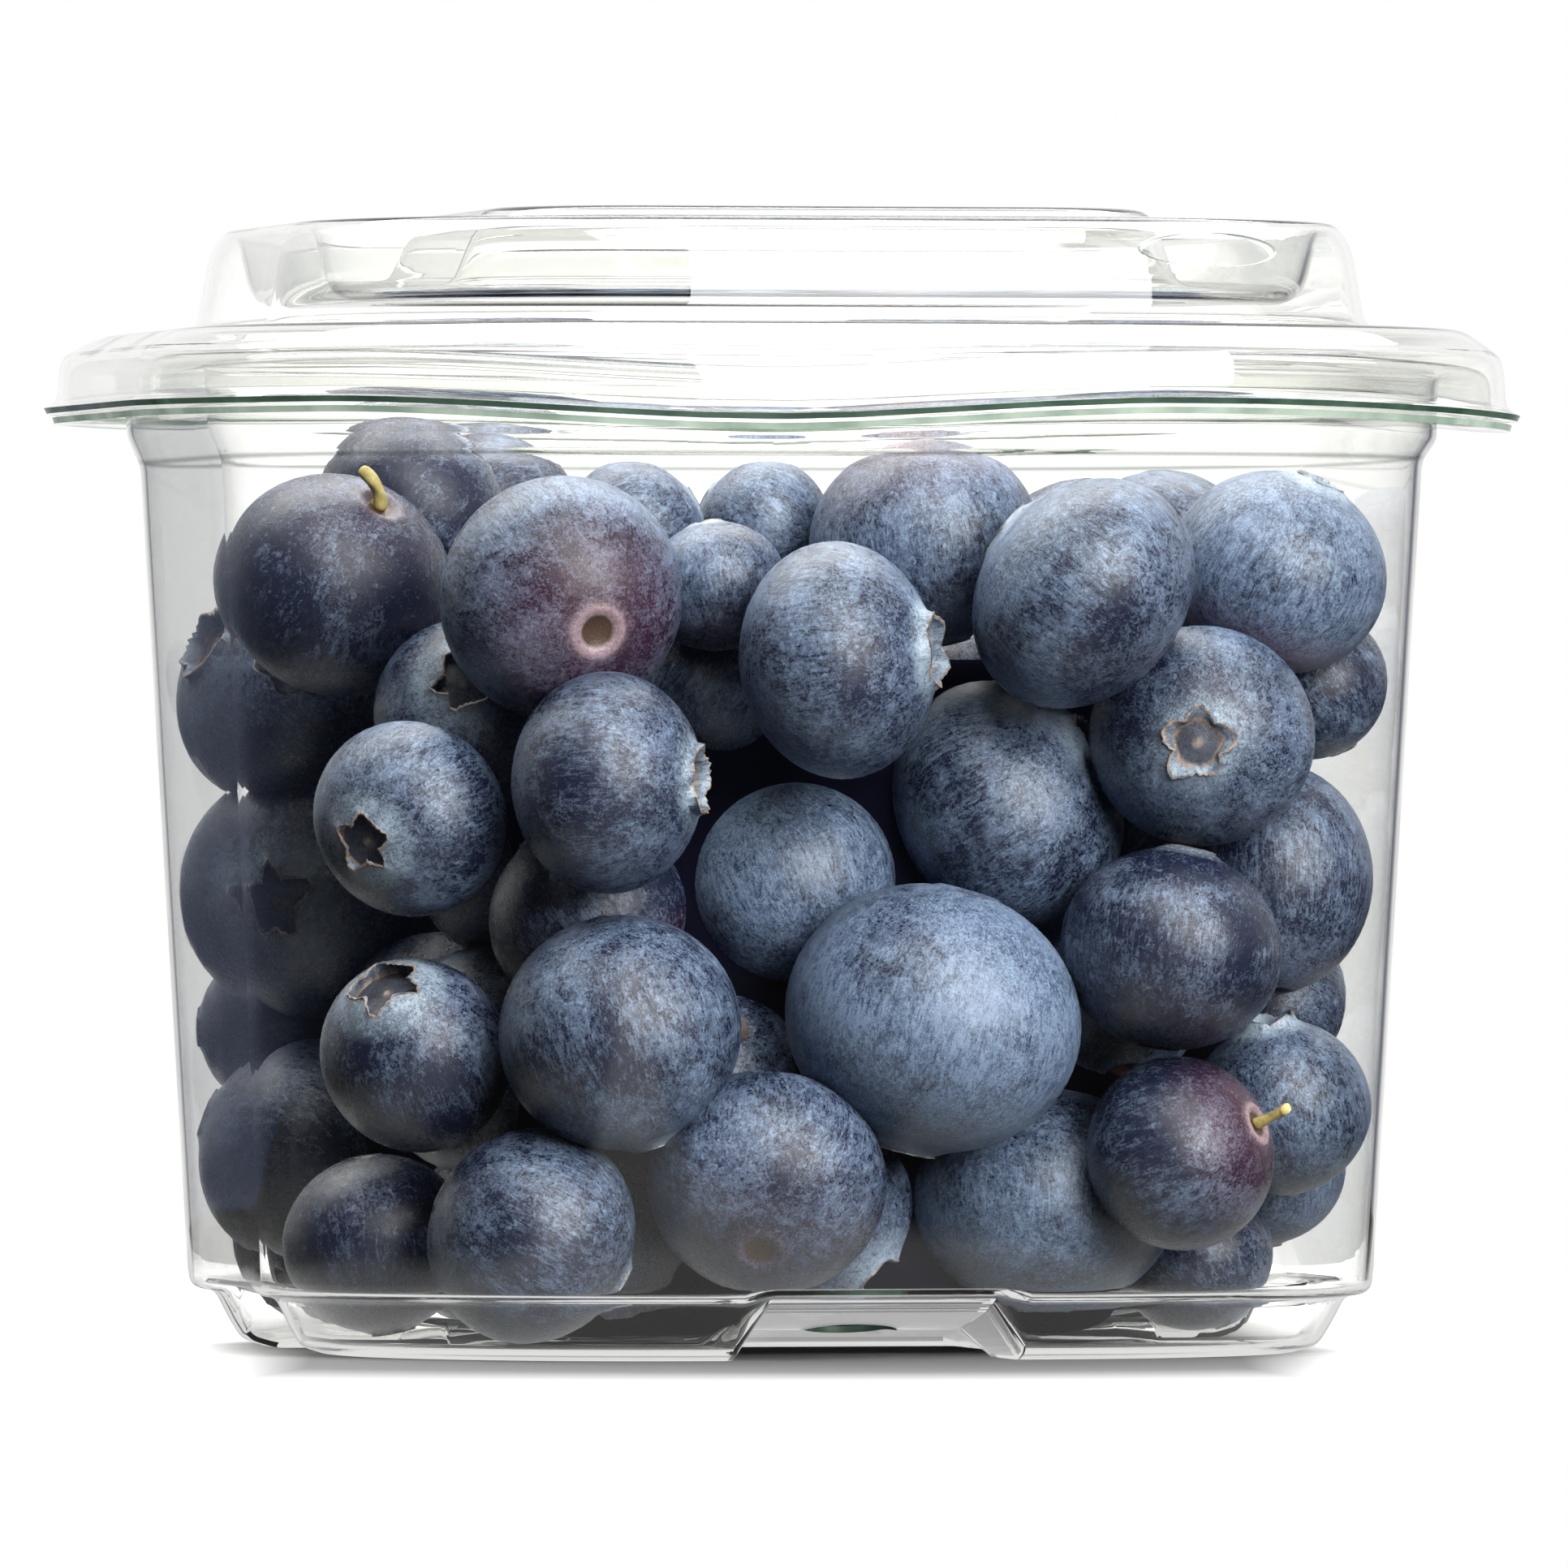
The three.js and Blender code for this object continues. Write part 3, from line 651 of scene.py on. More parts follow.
def place_seen(across, up, width, placed):
    """A berry of the front row, as near the eye as the wall and those before it allow."""
    for pull in range(PULL_STEPS):
        beside = across * (1 - PULL_STEP * pull)
        near = NEAREST
        while near > FARTHEST:
            scale = 1 - near / EYE_DISTANCE
            radius = (width / 2) * scale
            x = beside * scale * VIEW_FRONT - near * VIEW_SIDE
            y = -beside * scale * VIEW_SIDE - near * VIEW_FRONT
            z = EYE_HEIGHT + (up - EYE_HEIGHT) * scale
            berry = Berry(x, y, z, radius, True)
            if wall_excess(x, y, z, radius) <= 0 and not overlaps(berry, placed, FRONT_PRESS):
                berry.z = max(z, floor_height(x, y) + radius)
                return berry
            near -= NEAR_STEP
    return None


def random_draws(seed):
    state = seed
    while True:
        state = (state * DRAW_FACTOR) % DRAW_RANGE
        yield state / DRAW_RANGE


def hides_front(berry, placed):
    for front in placed:
        dx, dy, dz = way_between(front, berry)
        if -dx * VIEW_SIDE - dy * VIEW_FRONT <= 0:
            continue
        beside = dx * VIEW_FRONT - dy * VIEW_SIDE
        reach = HIDE_SHARE * (berry.radius + front.radius)
        if beside * beside + dz * dz < reach * reach:
            return True
    return False


def starting_berry(x, y, z, draws):
    radius = FILL_RADIUS_SMALL + FILL_RADIUS_RANGE * next(draws)
    spots = [value + FILL_JITTER * (next(draws) - 0.5) for value in (x, y, z)]
    return Berry(*spots, radius, False)


def steps_between(low, high, step):
    value = low
    while value < high:
        yield value
        value += step


def fill_starts(placed):
    """Starting places for the rest of the berries, layer by layer over a square grid."""
    draws = random_draws(FILL_SEED)
    starts = []
    shift = 0
    edge = FILL_REACH * FILL_STEP
    for z in steps_between(FILL_LOW, FILL_TOP, FILL_LAYER):
        for x in steps_between(shift - edge, edge, FILL_STEP):
            for y in steps_between(shift - edge, edge, FILL_STEP):
                berry = starting_berry(x, y, z, draws)
                excess = wall_excess(berry.x, berry.y, berry.z, berry.radius)
                crowded = overlaps(berry, placed, START_PRESS) or hides_front(berry, placed)
                if excess <= berry.radius / 2 and not crowded:
                    starts.append(berry)
        shift = FILL_STEP / 2 - shift
    return starts


def push_apart(a, b):
    dx, dy, dz = way_between(a, b)
    reach = BERRY_PRESS * (a.radius + b.radius)
    squared = dx * dx + dy * dy + dz * dz
    if squared >= reach * reach:
        return
    distance = math.sqrt(squared) + TINY
    push = (reach - distance) / distance
    share_b = 1 if a.fixed else 0.5
    share_a = 1 - share_b
    a.x -= dx * push * share_a
    a.y -= dy * push * share_a
    a.z -= dz * push * share_a
    b.x += dx * push * share_b
    b.y += dy * push * share_b
    b.z += dz * push * share_b


def keep_inside(berry):
    excess = wall_excess(berry.x, berry.y, berry.z, berry.radius)
    if excess > 0:
        a, b, length = past_flat(berry.x, berry.y)
        berry.x -= math.copysign(1, berry.x) * (a / length) * excess
        berry.y -= math.copysign(1, berry.y) * (b / length) * excess
    berry.z = max(berry.z, floor_height(berry.x, berry.y) + berry.radius)


def pack_berries():
    """The front row stays where it is seen, and the rest settle round it and one another."""
    placed = []
    for across, up, width, *_ in FRONT_ROW:
        placed.append(place_seen(across, up, width, placed))
    loose = fill_starts(placed)
    everything = placed + loose
    for _ in range(SETTLE_ROUNDS):
        for berry in loose:
            berry.z -= SETTLE_DROP
            if hides_front(berry, placed):
                berry.x += CLEAR_STEP * VIEW_SIDE
                berry.y += CLEAR_STEP * VIEW_FRONT
        for i, a in enumerate(everything):
            for b in everything[max(i + 1, len(placed)):]:
                push_apart(a, b)
        for berry in loose:
            keep_inside(berry)
    return placed, [berry for berry in loose if not hides_front(berry, placed)]


# ---- Berry blanks: one berry of radius 1 with its crown on +Z and its stem scar on -Z ----
# Each crown: radius in its notches and at its tips, how far the tips rise, how deep its floor lies
# and how uneven its lobes are.
CROWNS = {
    STAR: (0.23, 0.4, 0.05, 0.04, 0.5),
    UPRIGHT: (0.29, 0.35, 0.15, 0.09, 0.4),
    SMALL: (0.2, 0.28, 0.045, 0.06, 0.35),
    TORN: (0.26, 0.42, 0.18, 0.12, 0.9),
    WIDE: (0.44, 0.25, 0.04, 0.13, 0.7),
    FOLDED: (0.35, 0.18, 0.03, 0.1, 0.5),
}
# The stem scar: radius, height over the skin, and how much of it is scar ring and pit.
SCAR = [
    (0.25, -0.004, (0.2, 0)),
    (0.21, 0.006, (1, 0)),
    (0.16, -0.008, (0.8, 0)),
    (0.12, -0.045, (0, 1)),
    (0.04, -0.04, (0, 1)),
]
LOBES = 5
TIP_SHIFT = 0.3
TIP_ROUND = 0.8
EDGE_UNEVEN = 0.22
EDGE_WAVES = (17, 9)
SQUASH = 0.94
CROWN_FOOT = 0.14
CROWN_WIDEST = 0.62
# Segments and rings of the blanks for the front row and for the rest, and what is added to a
# kind to seed its crown.
FINE_BLANK = (56, 30)
PLAIN_BLANK = (30, 18)
FINE_SEED = 3
PLAIN_SEED = 9
PLAIN_KINDS = (STAR, UPRIGHT, SMALL)
LUMP = 0.01
LUMP_WAVES = (2.1, 2.3, 1.9)
LUMP_PHASES = (1, 1.7, 2.3)


def crown_rings(notch, tip, rise, depth):
    """Rings from the skin up the outside of the lobes, over their thin edge and down to the floor:
    radius and height in the notches and at the tips, and shares of bloom, dry edge and inside."""
    return [
        (notch + 0.13, notch + 0.15, 0, 0, (0.5, 0, 0)),
        (notch + 0.06, mix(notch, tip, 0.5) + 0.03, 0.015, 0.02, (1, 0, 0)),
        (notch + 0.01, tip - 0.02, 0.03, rise - 0.015, (0.8, 0.1, 0)),
        (notch, tip, 0.038, rise, (0.3, 1, 0)),
        (notch - 0.012, tip - 0.015, 0.036, rise - 0.002, (0, 1, 0)),
        (notch - 0.022, tip - 0.045, 0.025, rise - 0.02, (0.9, 0, 0.1)),
        (notch - 0.03, mix(notch, tip, 0.25), -depth / 3, -depth / 4, (0.8, 0, 0.3)),
        (notch - 0.04, mix(notch, tip, 0.1) - 0.02, -depth, -depth * 0.8, (0, 0.7, 0.7)),
        (notch - 0.06, notch - 0.05, -depth, -depth, (0, 0, 1)),
        (0.06, 0.06, -depth, -depth, (0, 0, 1)),
        (0.035, 0.035, -depth + 0.02, -depth + 0.02, (0, 1, 0)),
    ]


def lobe_shape(seed, uneven):
    """Five lobes round a crown: 0 in the notches and about 1 at the tips, ragged when uneven."""
    draw = random.Random(seed)
    tips = [
        (math.tau * k / LOBES + draw.uniform(-TIP_SHIFT, TIP_SHIFT) * uneven, 1 - uneven * draw.random())
        for k in range(LOBES)
    ]
    phase = draw.uniform(0, math.tau)
    ripples = tuple(zip(EDGE_WAVES, (phase, 2 * phase)))

    def lobe(turn):
        best = 0
        for tip, height in tips:
            away = abs((turn - tip + math.pi) % math.tau - math.pi) / (math.pi / LOBES)
            best = max(best, height * max(1 - away, 0) ** TIP_ROUND)
        fine, coarse = (math.sin(count * turn + phase) for count, phase in ripples)
        return best + EDGE_UNEVEN * uneven * (fine * coarse)

    return lobe


def skin_height(reach):
    return SQUASH * math.sqrt(max(1 - reach * reach, 0))


def open_end(blank, cap_height, way):
    """Takes off the end of the ball beyond a height and selects the edge that is left."""
    mesh = edit(blank)
    for vert in mesh.verts:
        vert.select = vert.co.z * way > cap_height
    mesh.select_flush(True)
    bpy.ops.mesh.delete(type="VERT")
    mesh = bmesh.from_edit_mesh(blank.data)
    for vert in mesh.verts:
        vert.select = vert.is_boundary
    mesh.select_flush(True)


def draw_ring(blank, way, reach_at, rise_at, marks):
    bpy.ops.mesh.extrude_region_move()
    mesh = bmesh.from_edit_mesh(blank.data)
    spots = mesh.verts.layers.float_color["spots"]
    for vert in mesh.verts:
        if vert.select:
            turn = math.atan2(vert.co.y, vert.co.x)
            reach = reach_at(turn)
            height = skin_height(min(reach, CROWN_WIDEST)) + rise_at(turn)
            vert.co = Vector((reach * math.cos(turn), reach * math.sin(turn), way * height))
            vert[spots] = marks


def close_end():
    bpy.ops.mesh.merge(type="CENTER")
    leave_edit()


def berry_blank(name, kind, segments, rings, seed):
    """A ball is squashed, opened at both ends, and its crown and scar are extruded from there."""
    bpy.ops.mesh.primitive_uv_sphere_add(segments=segments, ring_count=rings, radius=1)
    blank = bpy.context.object
    blank.name = name
    mesh = edit(blank)
    spots = mesh.verts.layers.float_color.new("spots")
    for vert in mesh.verts:
        vert.co.z *= SQUASH
        vert[spots] = (0, 0, 0, 0)
    leave_edit()
    *crown, uneven = CROWNS[kind]
    lobe = lobe_shape(seed, uneven)
    cap = math.cos(math.asin(crown[0] + CROWN_FOOT) + math.pi / rings / 2) * SQUASH
    open_end(blank, cap, 1)
    for notch, tip, notch_rise, tip_rise, (bloom, edge, inside) in crown_rings(*crown):
        draw_ring(
            blank, 1,
            lambda turn: mix(notch, tip, lobe(turn)),
            lambda turn: mix(notch_rise, tip_rise, lobe(turn)),
            (bloom, edge, inside, 0),
        )
    close_end()
    open_end(blank, math.cos(math.asin(SCAR[0][0]) + math.pi / rings / 2) * SQUASH, -1)
    for reach, rise, (ring, pit) in SCAR:
        draw_ring(blank, -1, lambda turn: reach, lambda turn: rise, (0, 0, 0, ring + 2 * pit))
    close_end()
    edit(blank)
    face_out()
    return blank


def crown_turn(axis, spin):
    """The turn that brings +Z onto an axis, after a spin about it."""
    return axis.to_track_quat("Z", "Y").to_matrix() @ Matrix.Rotation(spin, 3, "Z")


def lumpy(point, phase):
    """How far the skin stands in or out at a point of the unit ball, so that no two are alike."""
    waves = zip(LUMP_WAVES, point, LUMP_PHASES)
    return 1 + LUMP + LUMP * sum(math.sin(count * at + shift * phase) for count, at, shift in waves)


def place_berry(blank, berry, axis, bloom, red, flat, draw):
    """A copy of a blank at its place, with its own lumps and the marks that its skin takes."""
    mesh = blank.data.copy()
    copy = bpy.data.objects.new(blank.name + "_copy", mesh)
    bpy.context.scene.collection.objects.link(copy)
    phase = draw.uniform(0, math.tau)
    offset = Vector([draw.uniform(0, OWN_RANGE) for _ in range(3)])
    stretch = Vector((1 + flat / 2, 1 + flat / 2, 1 - flat / 2))
    turn = crown_turn(axis, draw.uniform(0, math.tau))
    grown = Berry(berry.x, berry.y, berry.z, berry.radius * stretch.x, True)
    keep_inside(grown)
    centre = Vector((grown.x, grown.y, grown.z))
    mesh.attributes.new("own_place", "FLOAT_VECTOR", "POINT")
    mesh.attributes.new("tone", "FLOAT_COLOR", "POINT")
    own = mesh.attributes["own_place"]
    tone = mesh.attributes["tone"]
    for vert in mesh.vertices:
        local = vert.co * lumpy(vert.co, phase) * stretch
        own.data[vert.index].vector = vert.co * berry.radius + offset
        tone.data[vert.index].color = (bloom, red, 0.5 - vert.co.z / 2, 1)
        vert.co = (centre + turn @ local * berry.radius) * MM
    return copy


def view_axis(clock, lean):
    """A direction given by its clock angle across the view and its lean from the line of sight."""
    across = math.cos(math.radians(clock))
    up = math.sin(math.radians(clock))
    aside = math.sin(math.radians(lean))
    facing = math.cos(math.radians(lean))
    return (EYE_RIGHT * across + UP * up) * aside + TOWARDS_EYE * facing


def random_axis(draw):
    height = draw.uniform(-1, 1)
    turn = draw.uniform(0, math.tau)
    side = math.sqrt(1 - height * height)
    return Vector((side * math.cos(turn), side * math.sin(turn), height))


def join_berries(name, parts, skin, smooth):
    """Joins berries or stems into one piece of the heap, with one skin."""
    pick(*parts)
    bpy.ops.object.join()
    whole = bpy.context.object
    whole.name = name
    whole.data.materials.clear()
    coat(whole, skin)
    shade_smooth(whole, smooth)
    finish_piece(whole, "berries", "berries")
    return whole


def berries():
    placed, loose = pack_berries()
    draw = random.Random(STYLE_SEED)
    fine = {
        kind: berry_blank(f"blank_{kind}", kind, *FINE_BLANK, kind + FINE_SEED) for kind in CROWNS
    }
    plain = [
        berry_blank(f"blank_plain_{kind}", kind, *PLAIN_BLANK, kind + PLAIN_SEED)
        for kind in PLAIN_KINDS
    ]
    front = []
    # Each front berry's bloom carries painted light and shade as well as its own bloom.
    for berry, (_, _, _, clock, lean, bloom, red, flat, kind) in zip(placed, FRONT_ROW):
        front.append(place_berry(fine[kind], berry, view_axis(clock, lean), bloom, red, flat, draw))
    rest = []
    for i, berry in enumerate(loose):
        blank = plain[i % len(plain)]
        bloom = draw.uniform(*REST_BLOOM)
        red = draw.choice(REST_RED)
        flat = draw.uniform(*REST_FLAT)
        rest.append(place_berry(blank, berry, random_axis(draw), bloom, red, flat, draw))
    for blank in (*fine.values(), *plain):
        bpy.data.objects.remove(blank)
    skin = berry_skin()
    join_berries("berries_front", front, skin, SMOOTH_BERRY)
    join_berries("berries_rest", rest, skin, SMOOTH_BERRY)
    return placed


# ---- Stems ----
def draw_stem(path, radii):
    """A stem drawn along a few points: a ring is extruded and set square to the path at each."""
    bpy.ops.mesh.primitive_circle_add(vertices=STEM_SIDES, radius=1, fill_type="NGON")
    stem = bpy.context.object
    mesh = edit(stem)
    turn_of = mesh.verts.layers.float.new("turn")
    for vert in mesh.verts:
        vert[turn_of] = math.atan2(vert.co.y, vert.co.x)
        vert.select = True
    mesh.select_flush(True)
    for i, (point, radius) in enumerate(zip(path, radii)):
        if i:
            bpy.ops.mesh.extrude_region_move()
        mesh = bmesh.from_edit_mesh(stem.data)
        turn_of = mesh.verts.layers.float["turn"]
        before = path[max(i - 1, 0)]
        after = path[min(i + 1, len(path) - 1)]
        square = (after - before).normalized().to_track_quat("Z", "Y").to_matrix()
        for vert in mesh.verts:
            if vert.select:
                turn = vert[turn_of]
                uneven = radius * (1 + STEM_UNEVEN * math.sin(STEM_RIDGES * turn + i))
                vert.co = (point + square @ Vector((math.cos(turn), math.sin(turn), 0)) * uneven) * MM
    face_out()
    stem.data.attributes.remove(stem.data.attributes["turn"])
    return stem


def stem_path(berry, clock, lean, length, hook, count):
    """Points from just inside the stem scar outwards, bending by hook over the length."""
    out = -view_axis(clock, lean)
    start = Vector((berry.x, berry.y, berry.z)) + out * berry.radius * (SQUASH - STEM_SUNK)
    points = []
    for i in range(count):
        t = i / (count - 1)
        points.append(start + out * length * t + hook * t * t)
    return points


def stems(placed):
    drawn = []
    for place, length, hook, radii in STEMS:
        _, _, _, clock, lean, *_ = FRONT_ROW[place]
        path = stem_path(placed[place], clock, lean, length, hook, len(radii))
        stem = draw_stem(path, radii)
        apply_modifier(stem, "SUBSURF", levels=1, render_levels=1)
        drawn.append(stem)
    join_berries("berry_stems", drawn, stem_skin(), SMOOTH_STEM)


def heap_core():
    """The dark middle of the heap, behind the berries: a block with its edges rounded off.
    Its near-black colour is painted shade that fills the gaps between the berries.
    """
    low = space_half(CORE_LOW) - CORE_INSET
    bpy.ops.mesh.primitive_cube_add(
        size=2 * low * MM, location=Vector((0, 0, (CORE_LOW + CORE_HIGH) / 2)) * MM,
    )
    core = bpy.context.object
    core.name = "heap_core"
    bpy.ops.object.transform_apply(location=True, rotation=True, scale=True)
    for vert in core.data.vertices:
        vert.co.z = (CORE_HIGH if vert.co.z > CORE_HIGH / 2 * MM else CORE_LOW) * MM
    apply_modifier(core, "BEVEL", width=CORE_BEVEL * MM, segments=CORE_BEVEL_STEPS)
    coat(core, core_skin())
    shade_smooth(core, SMOOTH_STEM)
    finish_piece(core, "berries", "berries")


# ---- Materials ----
# The noise patterns of the berries' skin: scale, detail, roughness and distortion.
PATCHES = (0.14, 5, 0.62, 0.6)
MOTTLE = (0.9, 6, 0.78, 0.4)
GRAIN = (3.2, 3, 0.8, 1.5)
STREAKS = (2.2, 5, 0.75, 1.6)
STREAK_STRETCH = (1, 1, 0.2)
# How far each pattern swings the bloom.
PATCH_SWING = 4
MOTTLE_SWING = 2.4
GRAIN_SWING = 3.6
STREAK_SWING = 4.2
BARE_BELOW = 0.04
BLOOM_GAIN = 0.55
DUST_GAIN = 0.38
DUST_MIDDLE = 0.45
SCAR_SIDE_GAIN = 3.4
SCAR_SIDE_START = 2.2
RED_PATCHES = 0.08
BARE_BLUE = (0.007, 0.010, 0.030)
BARE_RED = (0.07, 0.013, 0.024)
WAX_THIN = (0.09, 0.147, 0.265)
WAX_THICK = (0.262, 0.345, 0.485)
WAX_RED = (0.22, 0.14, 0.2)
LOBE_BLOOM = 0.35
LOBE_COLOR = (0.36, 0.45, 0.56)
HOLLOW_SHARE = 0.85
HOLLOW_COLOR = (0.05, 0.052, 0.07)
DRY_START = 0.36
DRY_GAIN = 4
DRY_COLOR = (0.5, 0.33, 0.2)
RING_GAIN = 2.2
RING_COLOR = (0.6, 0.42, 0.46)
PIT_COLOR = (0.06, 0.03, 0.014)
BARE_ROUGH = 0.27
WAX_ROUGH = 0.22
STEM_COLORS = ((0.3, (0.2, 0.12, 0.05)), (0.5, (0.4, 0.32, 0.11)), (0.75, (0.58, 0.49, 0.24)))
STEM_SCALE = 900
# Painted shade: the near-black colours of the heap's middle, seen in the gaps between berries.
CORE_SHADE_COLORS = ((0.002, 0.002, 0.006), (0.006, 0.006, 0.014))
CORE_SCALE = 60
CORE_FLECKS = (0.3, 0.7)


def new_material(name):
    material = bpy.data.materials.new(name)
    material.use_nodes = True
    tree = material.node_tree
    return material, tree, tree.nodes["Principled BSDF"]


def feed(tree, value, socket):
    """Links an input to another node's output, or sets it to a number, a direction or a colour."""
    if isinstance(value, bpy.types.NodeSocket):
        tree.links.new(value, socket)
    elif isinstance(value, tuple) and len(value) < len(socket.default_value):
        socket.default_value = (*value, 1)
    else:
        socket.default_value = value


def set_inputs(tree, node, **values):
    """Feeds a node's inputs, each named with _ in place of its spaces."""
    for key, value in values.items():
        feed(tree, value, node.inputs[key.replace("_", " ")])


def add_node(tree, kind, **values):
    """A new node with its settings, and then its inputs as set_inputs takes them."""
    node = tree.nodes.new(kind)
    for key, value in values.items():
        if hasattr(node, key):
            setattr(node, key, value)
        else:
            set_inputs(tree, node, **{key: value})
    return node


def color_ramp(tree, value, *stops):
    ramp = add_node(tree, "ShaderNodeValToRGB", Fac=value)
    elements = ramp.color_ramp.elements
    while len(elements) < len(stops):
        elements.new(0.5)
    for element, (position, color) in zip(elements, stops):
        element.position = position
        element.color = (*color, 1)
    return ramp.outputs["Color"]


def mix_color(tree, factor, a, b, blend="MIX"):
    node = add_node(tree, "ShaderNodeMix", data_type="RGBA", blend_type=blend)
    shown = [socket for socket in node.inputs if socket.enabled]
    for value, socket in zip((factor, a, b), shown):
        feed(tree, value, socket)
    return next(socket for socket in node.outputs if socket.enabled)


def math_node(tree, operation, a, b=0.0, clamp=False):
    node = add_node(tree, "ShaderNodeMath", operation=operation, use_clamp=clamp)
    for value, socket in zip((a, b), node.inputs):
        feed(tree, value, socket)
    return node.outputs[0]


def noise(tree, place, scale, detail, roughness=0.55, distortion=0):
    node = add_node(
        tree, "ShaderNodeTexNoise", Vector=place, Scale=scale, Detail=detail,
        Roughness=roughness, Distortion=distortion,
    )
    return node.outputs["Fac"]


def swing(tree, pattern, reach):
    """A pattern of 0 to 1 made to swing about zero."""
    return math_node(tree, "MULTIPLY", math_node(tree, "SUBTRACT", pattern, 0.5), reach)


def relief(tree, height, strength, depth):
    node = add_node(tree, "ShaderNodeBump", Strength=strength, Distance=depth, Height=height)
    return node.outputs["Normal"]


def along(tree, way, axis):
    """How far a place or a direction reaches along an axis."""
    node = add_node(tree, "ShaderNodeVectorMath", operation="DOT_PRODUCT", Vector=way)
    node.inputs[1].default_value = axis
    return node.outputs["Value"]


def object_place(tree):
    return add_node(tree, "ShaderNodeTexCoord").outputs["Object"]


def attribute(tree, name):
    return add_node(tree, "ShaderNodeAttribute", attribute_name=name).outputs


def channels(tree, color):
    return add_node(tree, "ShaderNodeSeparateColor", Color=color).outputs


def show_instead(tree, where, shader, other):
    """The material shows another shader in place of its own where the given value is 1."""
    blend = add_node(tree, "ShaderNodeMixShader", Fac=where)
    tree.links.new(shader.outputs[0], blend.inputs[1])
    tree.links.new(other.outputs[0], blend.inputs[2])
    tree.links.new(blend.outputs[0], tree.nodes["Material Output"].inputs["Surface"])


def new_group(name, output, kind, **inputs):
    """A node group with one output, and its inputs given by name and kind of socket."""
    group = bpy.data.node_groups.new(name, "ShaderNodeTree")
    for label, label_kind in inputs.items():
        group.interface.new_socket(name=label, in_out="INPUT", socket_type="NodeSocket" + label_kind)
    group.interface.new_socket(name=output, in_out="OUTPUT", socket_type="NodeSocket" + kind)
    return group, group.nodes.new("NodeGroupInput").outputs, group.nodes.new("NodeGroupOutput").inputs


def flecked_color():
    """The shared effect of flecks of a lighter colour over a darker one."""
    group, given, result = new_group(
        "flecked_color", "Color", "Color", Place="Vector", Scale="Float", Start="Float",
        End="Float", Dark="Color", Light="Color",
    )
    flecks = noise(group, given["Place"], given["Scale"], detail=3)
    lightness = add_node(
        group, "ShaderNodeMapRange", Value=flecks, From_Min=given["Start"], From_Max=given["End"],
    )
    color = mix_color(group, lightness.outputs["Result"], given["Dark"], given["Light"])
    group.links.new(color, result["Color"])
    return group


def sheet_ripple():
    """The shared effect of the faint ripple that the drawing of the sheet leaves in it."""
    group, given, result = new_group(
        "sheet_ripple", "Normal", "Vector", Place="Vector", Scale="Float",
    )
    ripple = noise(group, given["Place"], given["Scale"], detail=2)
    normal = relief(group, ripple, strength=0.02, depth=0.001)
    group.links.new(normal, result["Normal"])
    return group


def place_effect(tree, build, **values):
    """Places a shared effect in a material with its own values; the first use builds it."""
    group = bpy.data.node_groups.get(build.__name__) or build()
    node = add_node(tree, "ShaderNodeGroup", node_tree=group)
    set_inputs(tree, node, **values)
    return node.outputs[0]


def clear_plastic(name, aslant, edge_on, crease=None):
    """Clear sheet: it lets light through, and takes a grey green tint where it is seen edge on.
    A crease round it at a given height gets a painted dark line: painted shade for the dark edge that
    the bend shows in the light."""
    material, tree, shader = new_material(name)
    facing = add_node(tree, "ShaderNodeLayerWeight", Blend=0.5).outputs["Facing"]
    tint = color_ramp(tree, facing, (0, SQUARE_ON), (0.7, TURNED), (0.9, aslant), (1, edge_on))
    place = object_place(tree)
    # Painted shade: a dark line painted round the sheet at the crease's height.
    if crease:
        height = add_node(tree, "ShaderNodeSeparateXYZ", Vector=place).outputs["Z"]
        above = math_node(tree, "SUBTRACT", height, crease * MM)
        away = math_node(tree, "DIVIDE", math_node(tree, "ABSOLUTE", above), CREASE_SHADE_WIDTH * MM, True)
        tint = mix_color(tree, away, CREASE_PAINTED_SHADE, tint)
    set_inputs(
        tree, shader, Base_Color=tint, Roughness=0, IOR=PLASTIC_IOR, Transmission_Weight=1,
        Normal=place_effect(tree, sheet_ripple, Place=place, Scale=RIPPLE_SCALE),
    )
    clear = add_node(tree, "ShaderNodeBsdfTransparent", Color=IN_SHADOW)
    shadow = add_node(tree, "ShaderNodeLightPath").outputs["Is Shadow Ray"]
    show_instead(tree, shadow, shader, clear)
    return material


def flecked_material(name, shades, scale, flecks, roughness):
    material, tree, shader = new_material(name)
    color = place_effect(
        tree, flecked_color, Place=object_place(tree), Scale=scale, Start=flecks[0],
        End=flecks[1], Dark=shades[0], Light=shades[1],
    )
    set_inputs(tree, shader, Base_Color=color, Roughness=roughness)
    return material, tree, shader


def cut_edge(name, shades):
    """The cut edge of the sheet, where the plastic is seen through its whole width."""
    return flecked_material(name, shades, EDGE_SCALE, EDGE_FLECKS, roughness=0.25)[0]


# The heap's middle: painted shade, near black and without gloss.
def core_skin():
    material, tree, shader = flecked_material(
        "heap_middle_painted_shade", CORE_SHADE_COLORS, CORE_SCALE, CORE_FLECKS, roughness=0.8,
    )
    set_inputs(tree, shader, Specular_IOR_Level=0)
    return material


def stem_skin():
    material, tree, shader = new_material("berry_stem")
    pattern = noise(tree, object_place(tree), STEM_SCALE, detail=4)
    set_inputs(tree, shader, Base_Color=color_ramp(tree, pattern, *STEM_COLORS), Roughness=0.6)
    return material


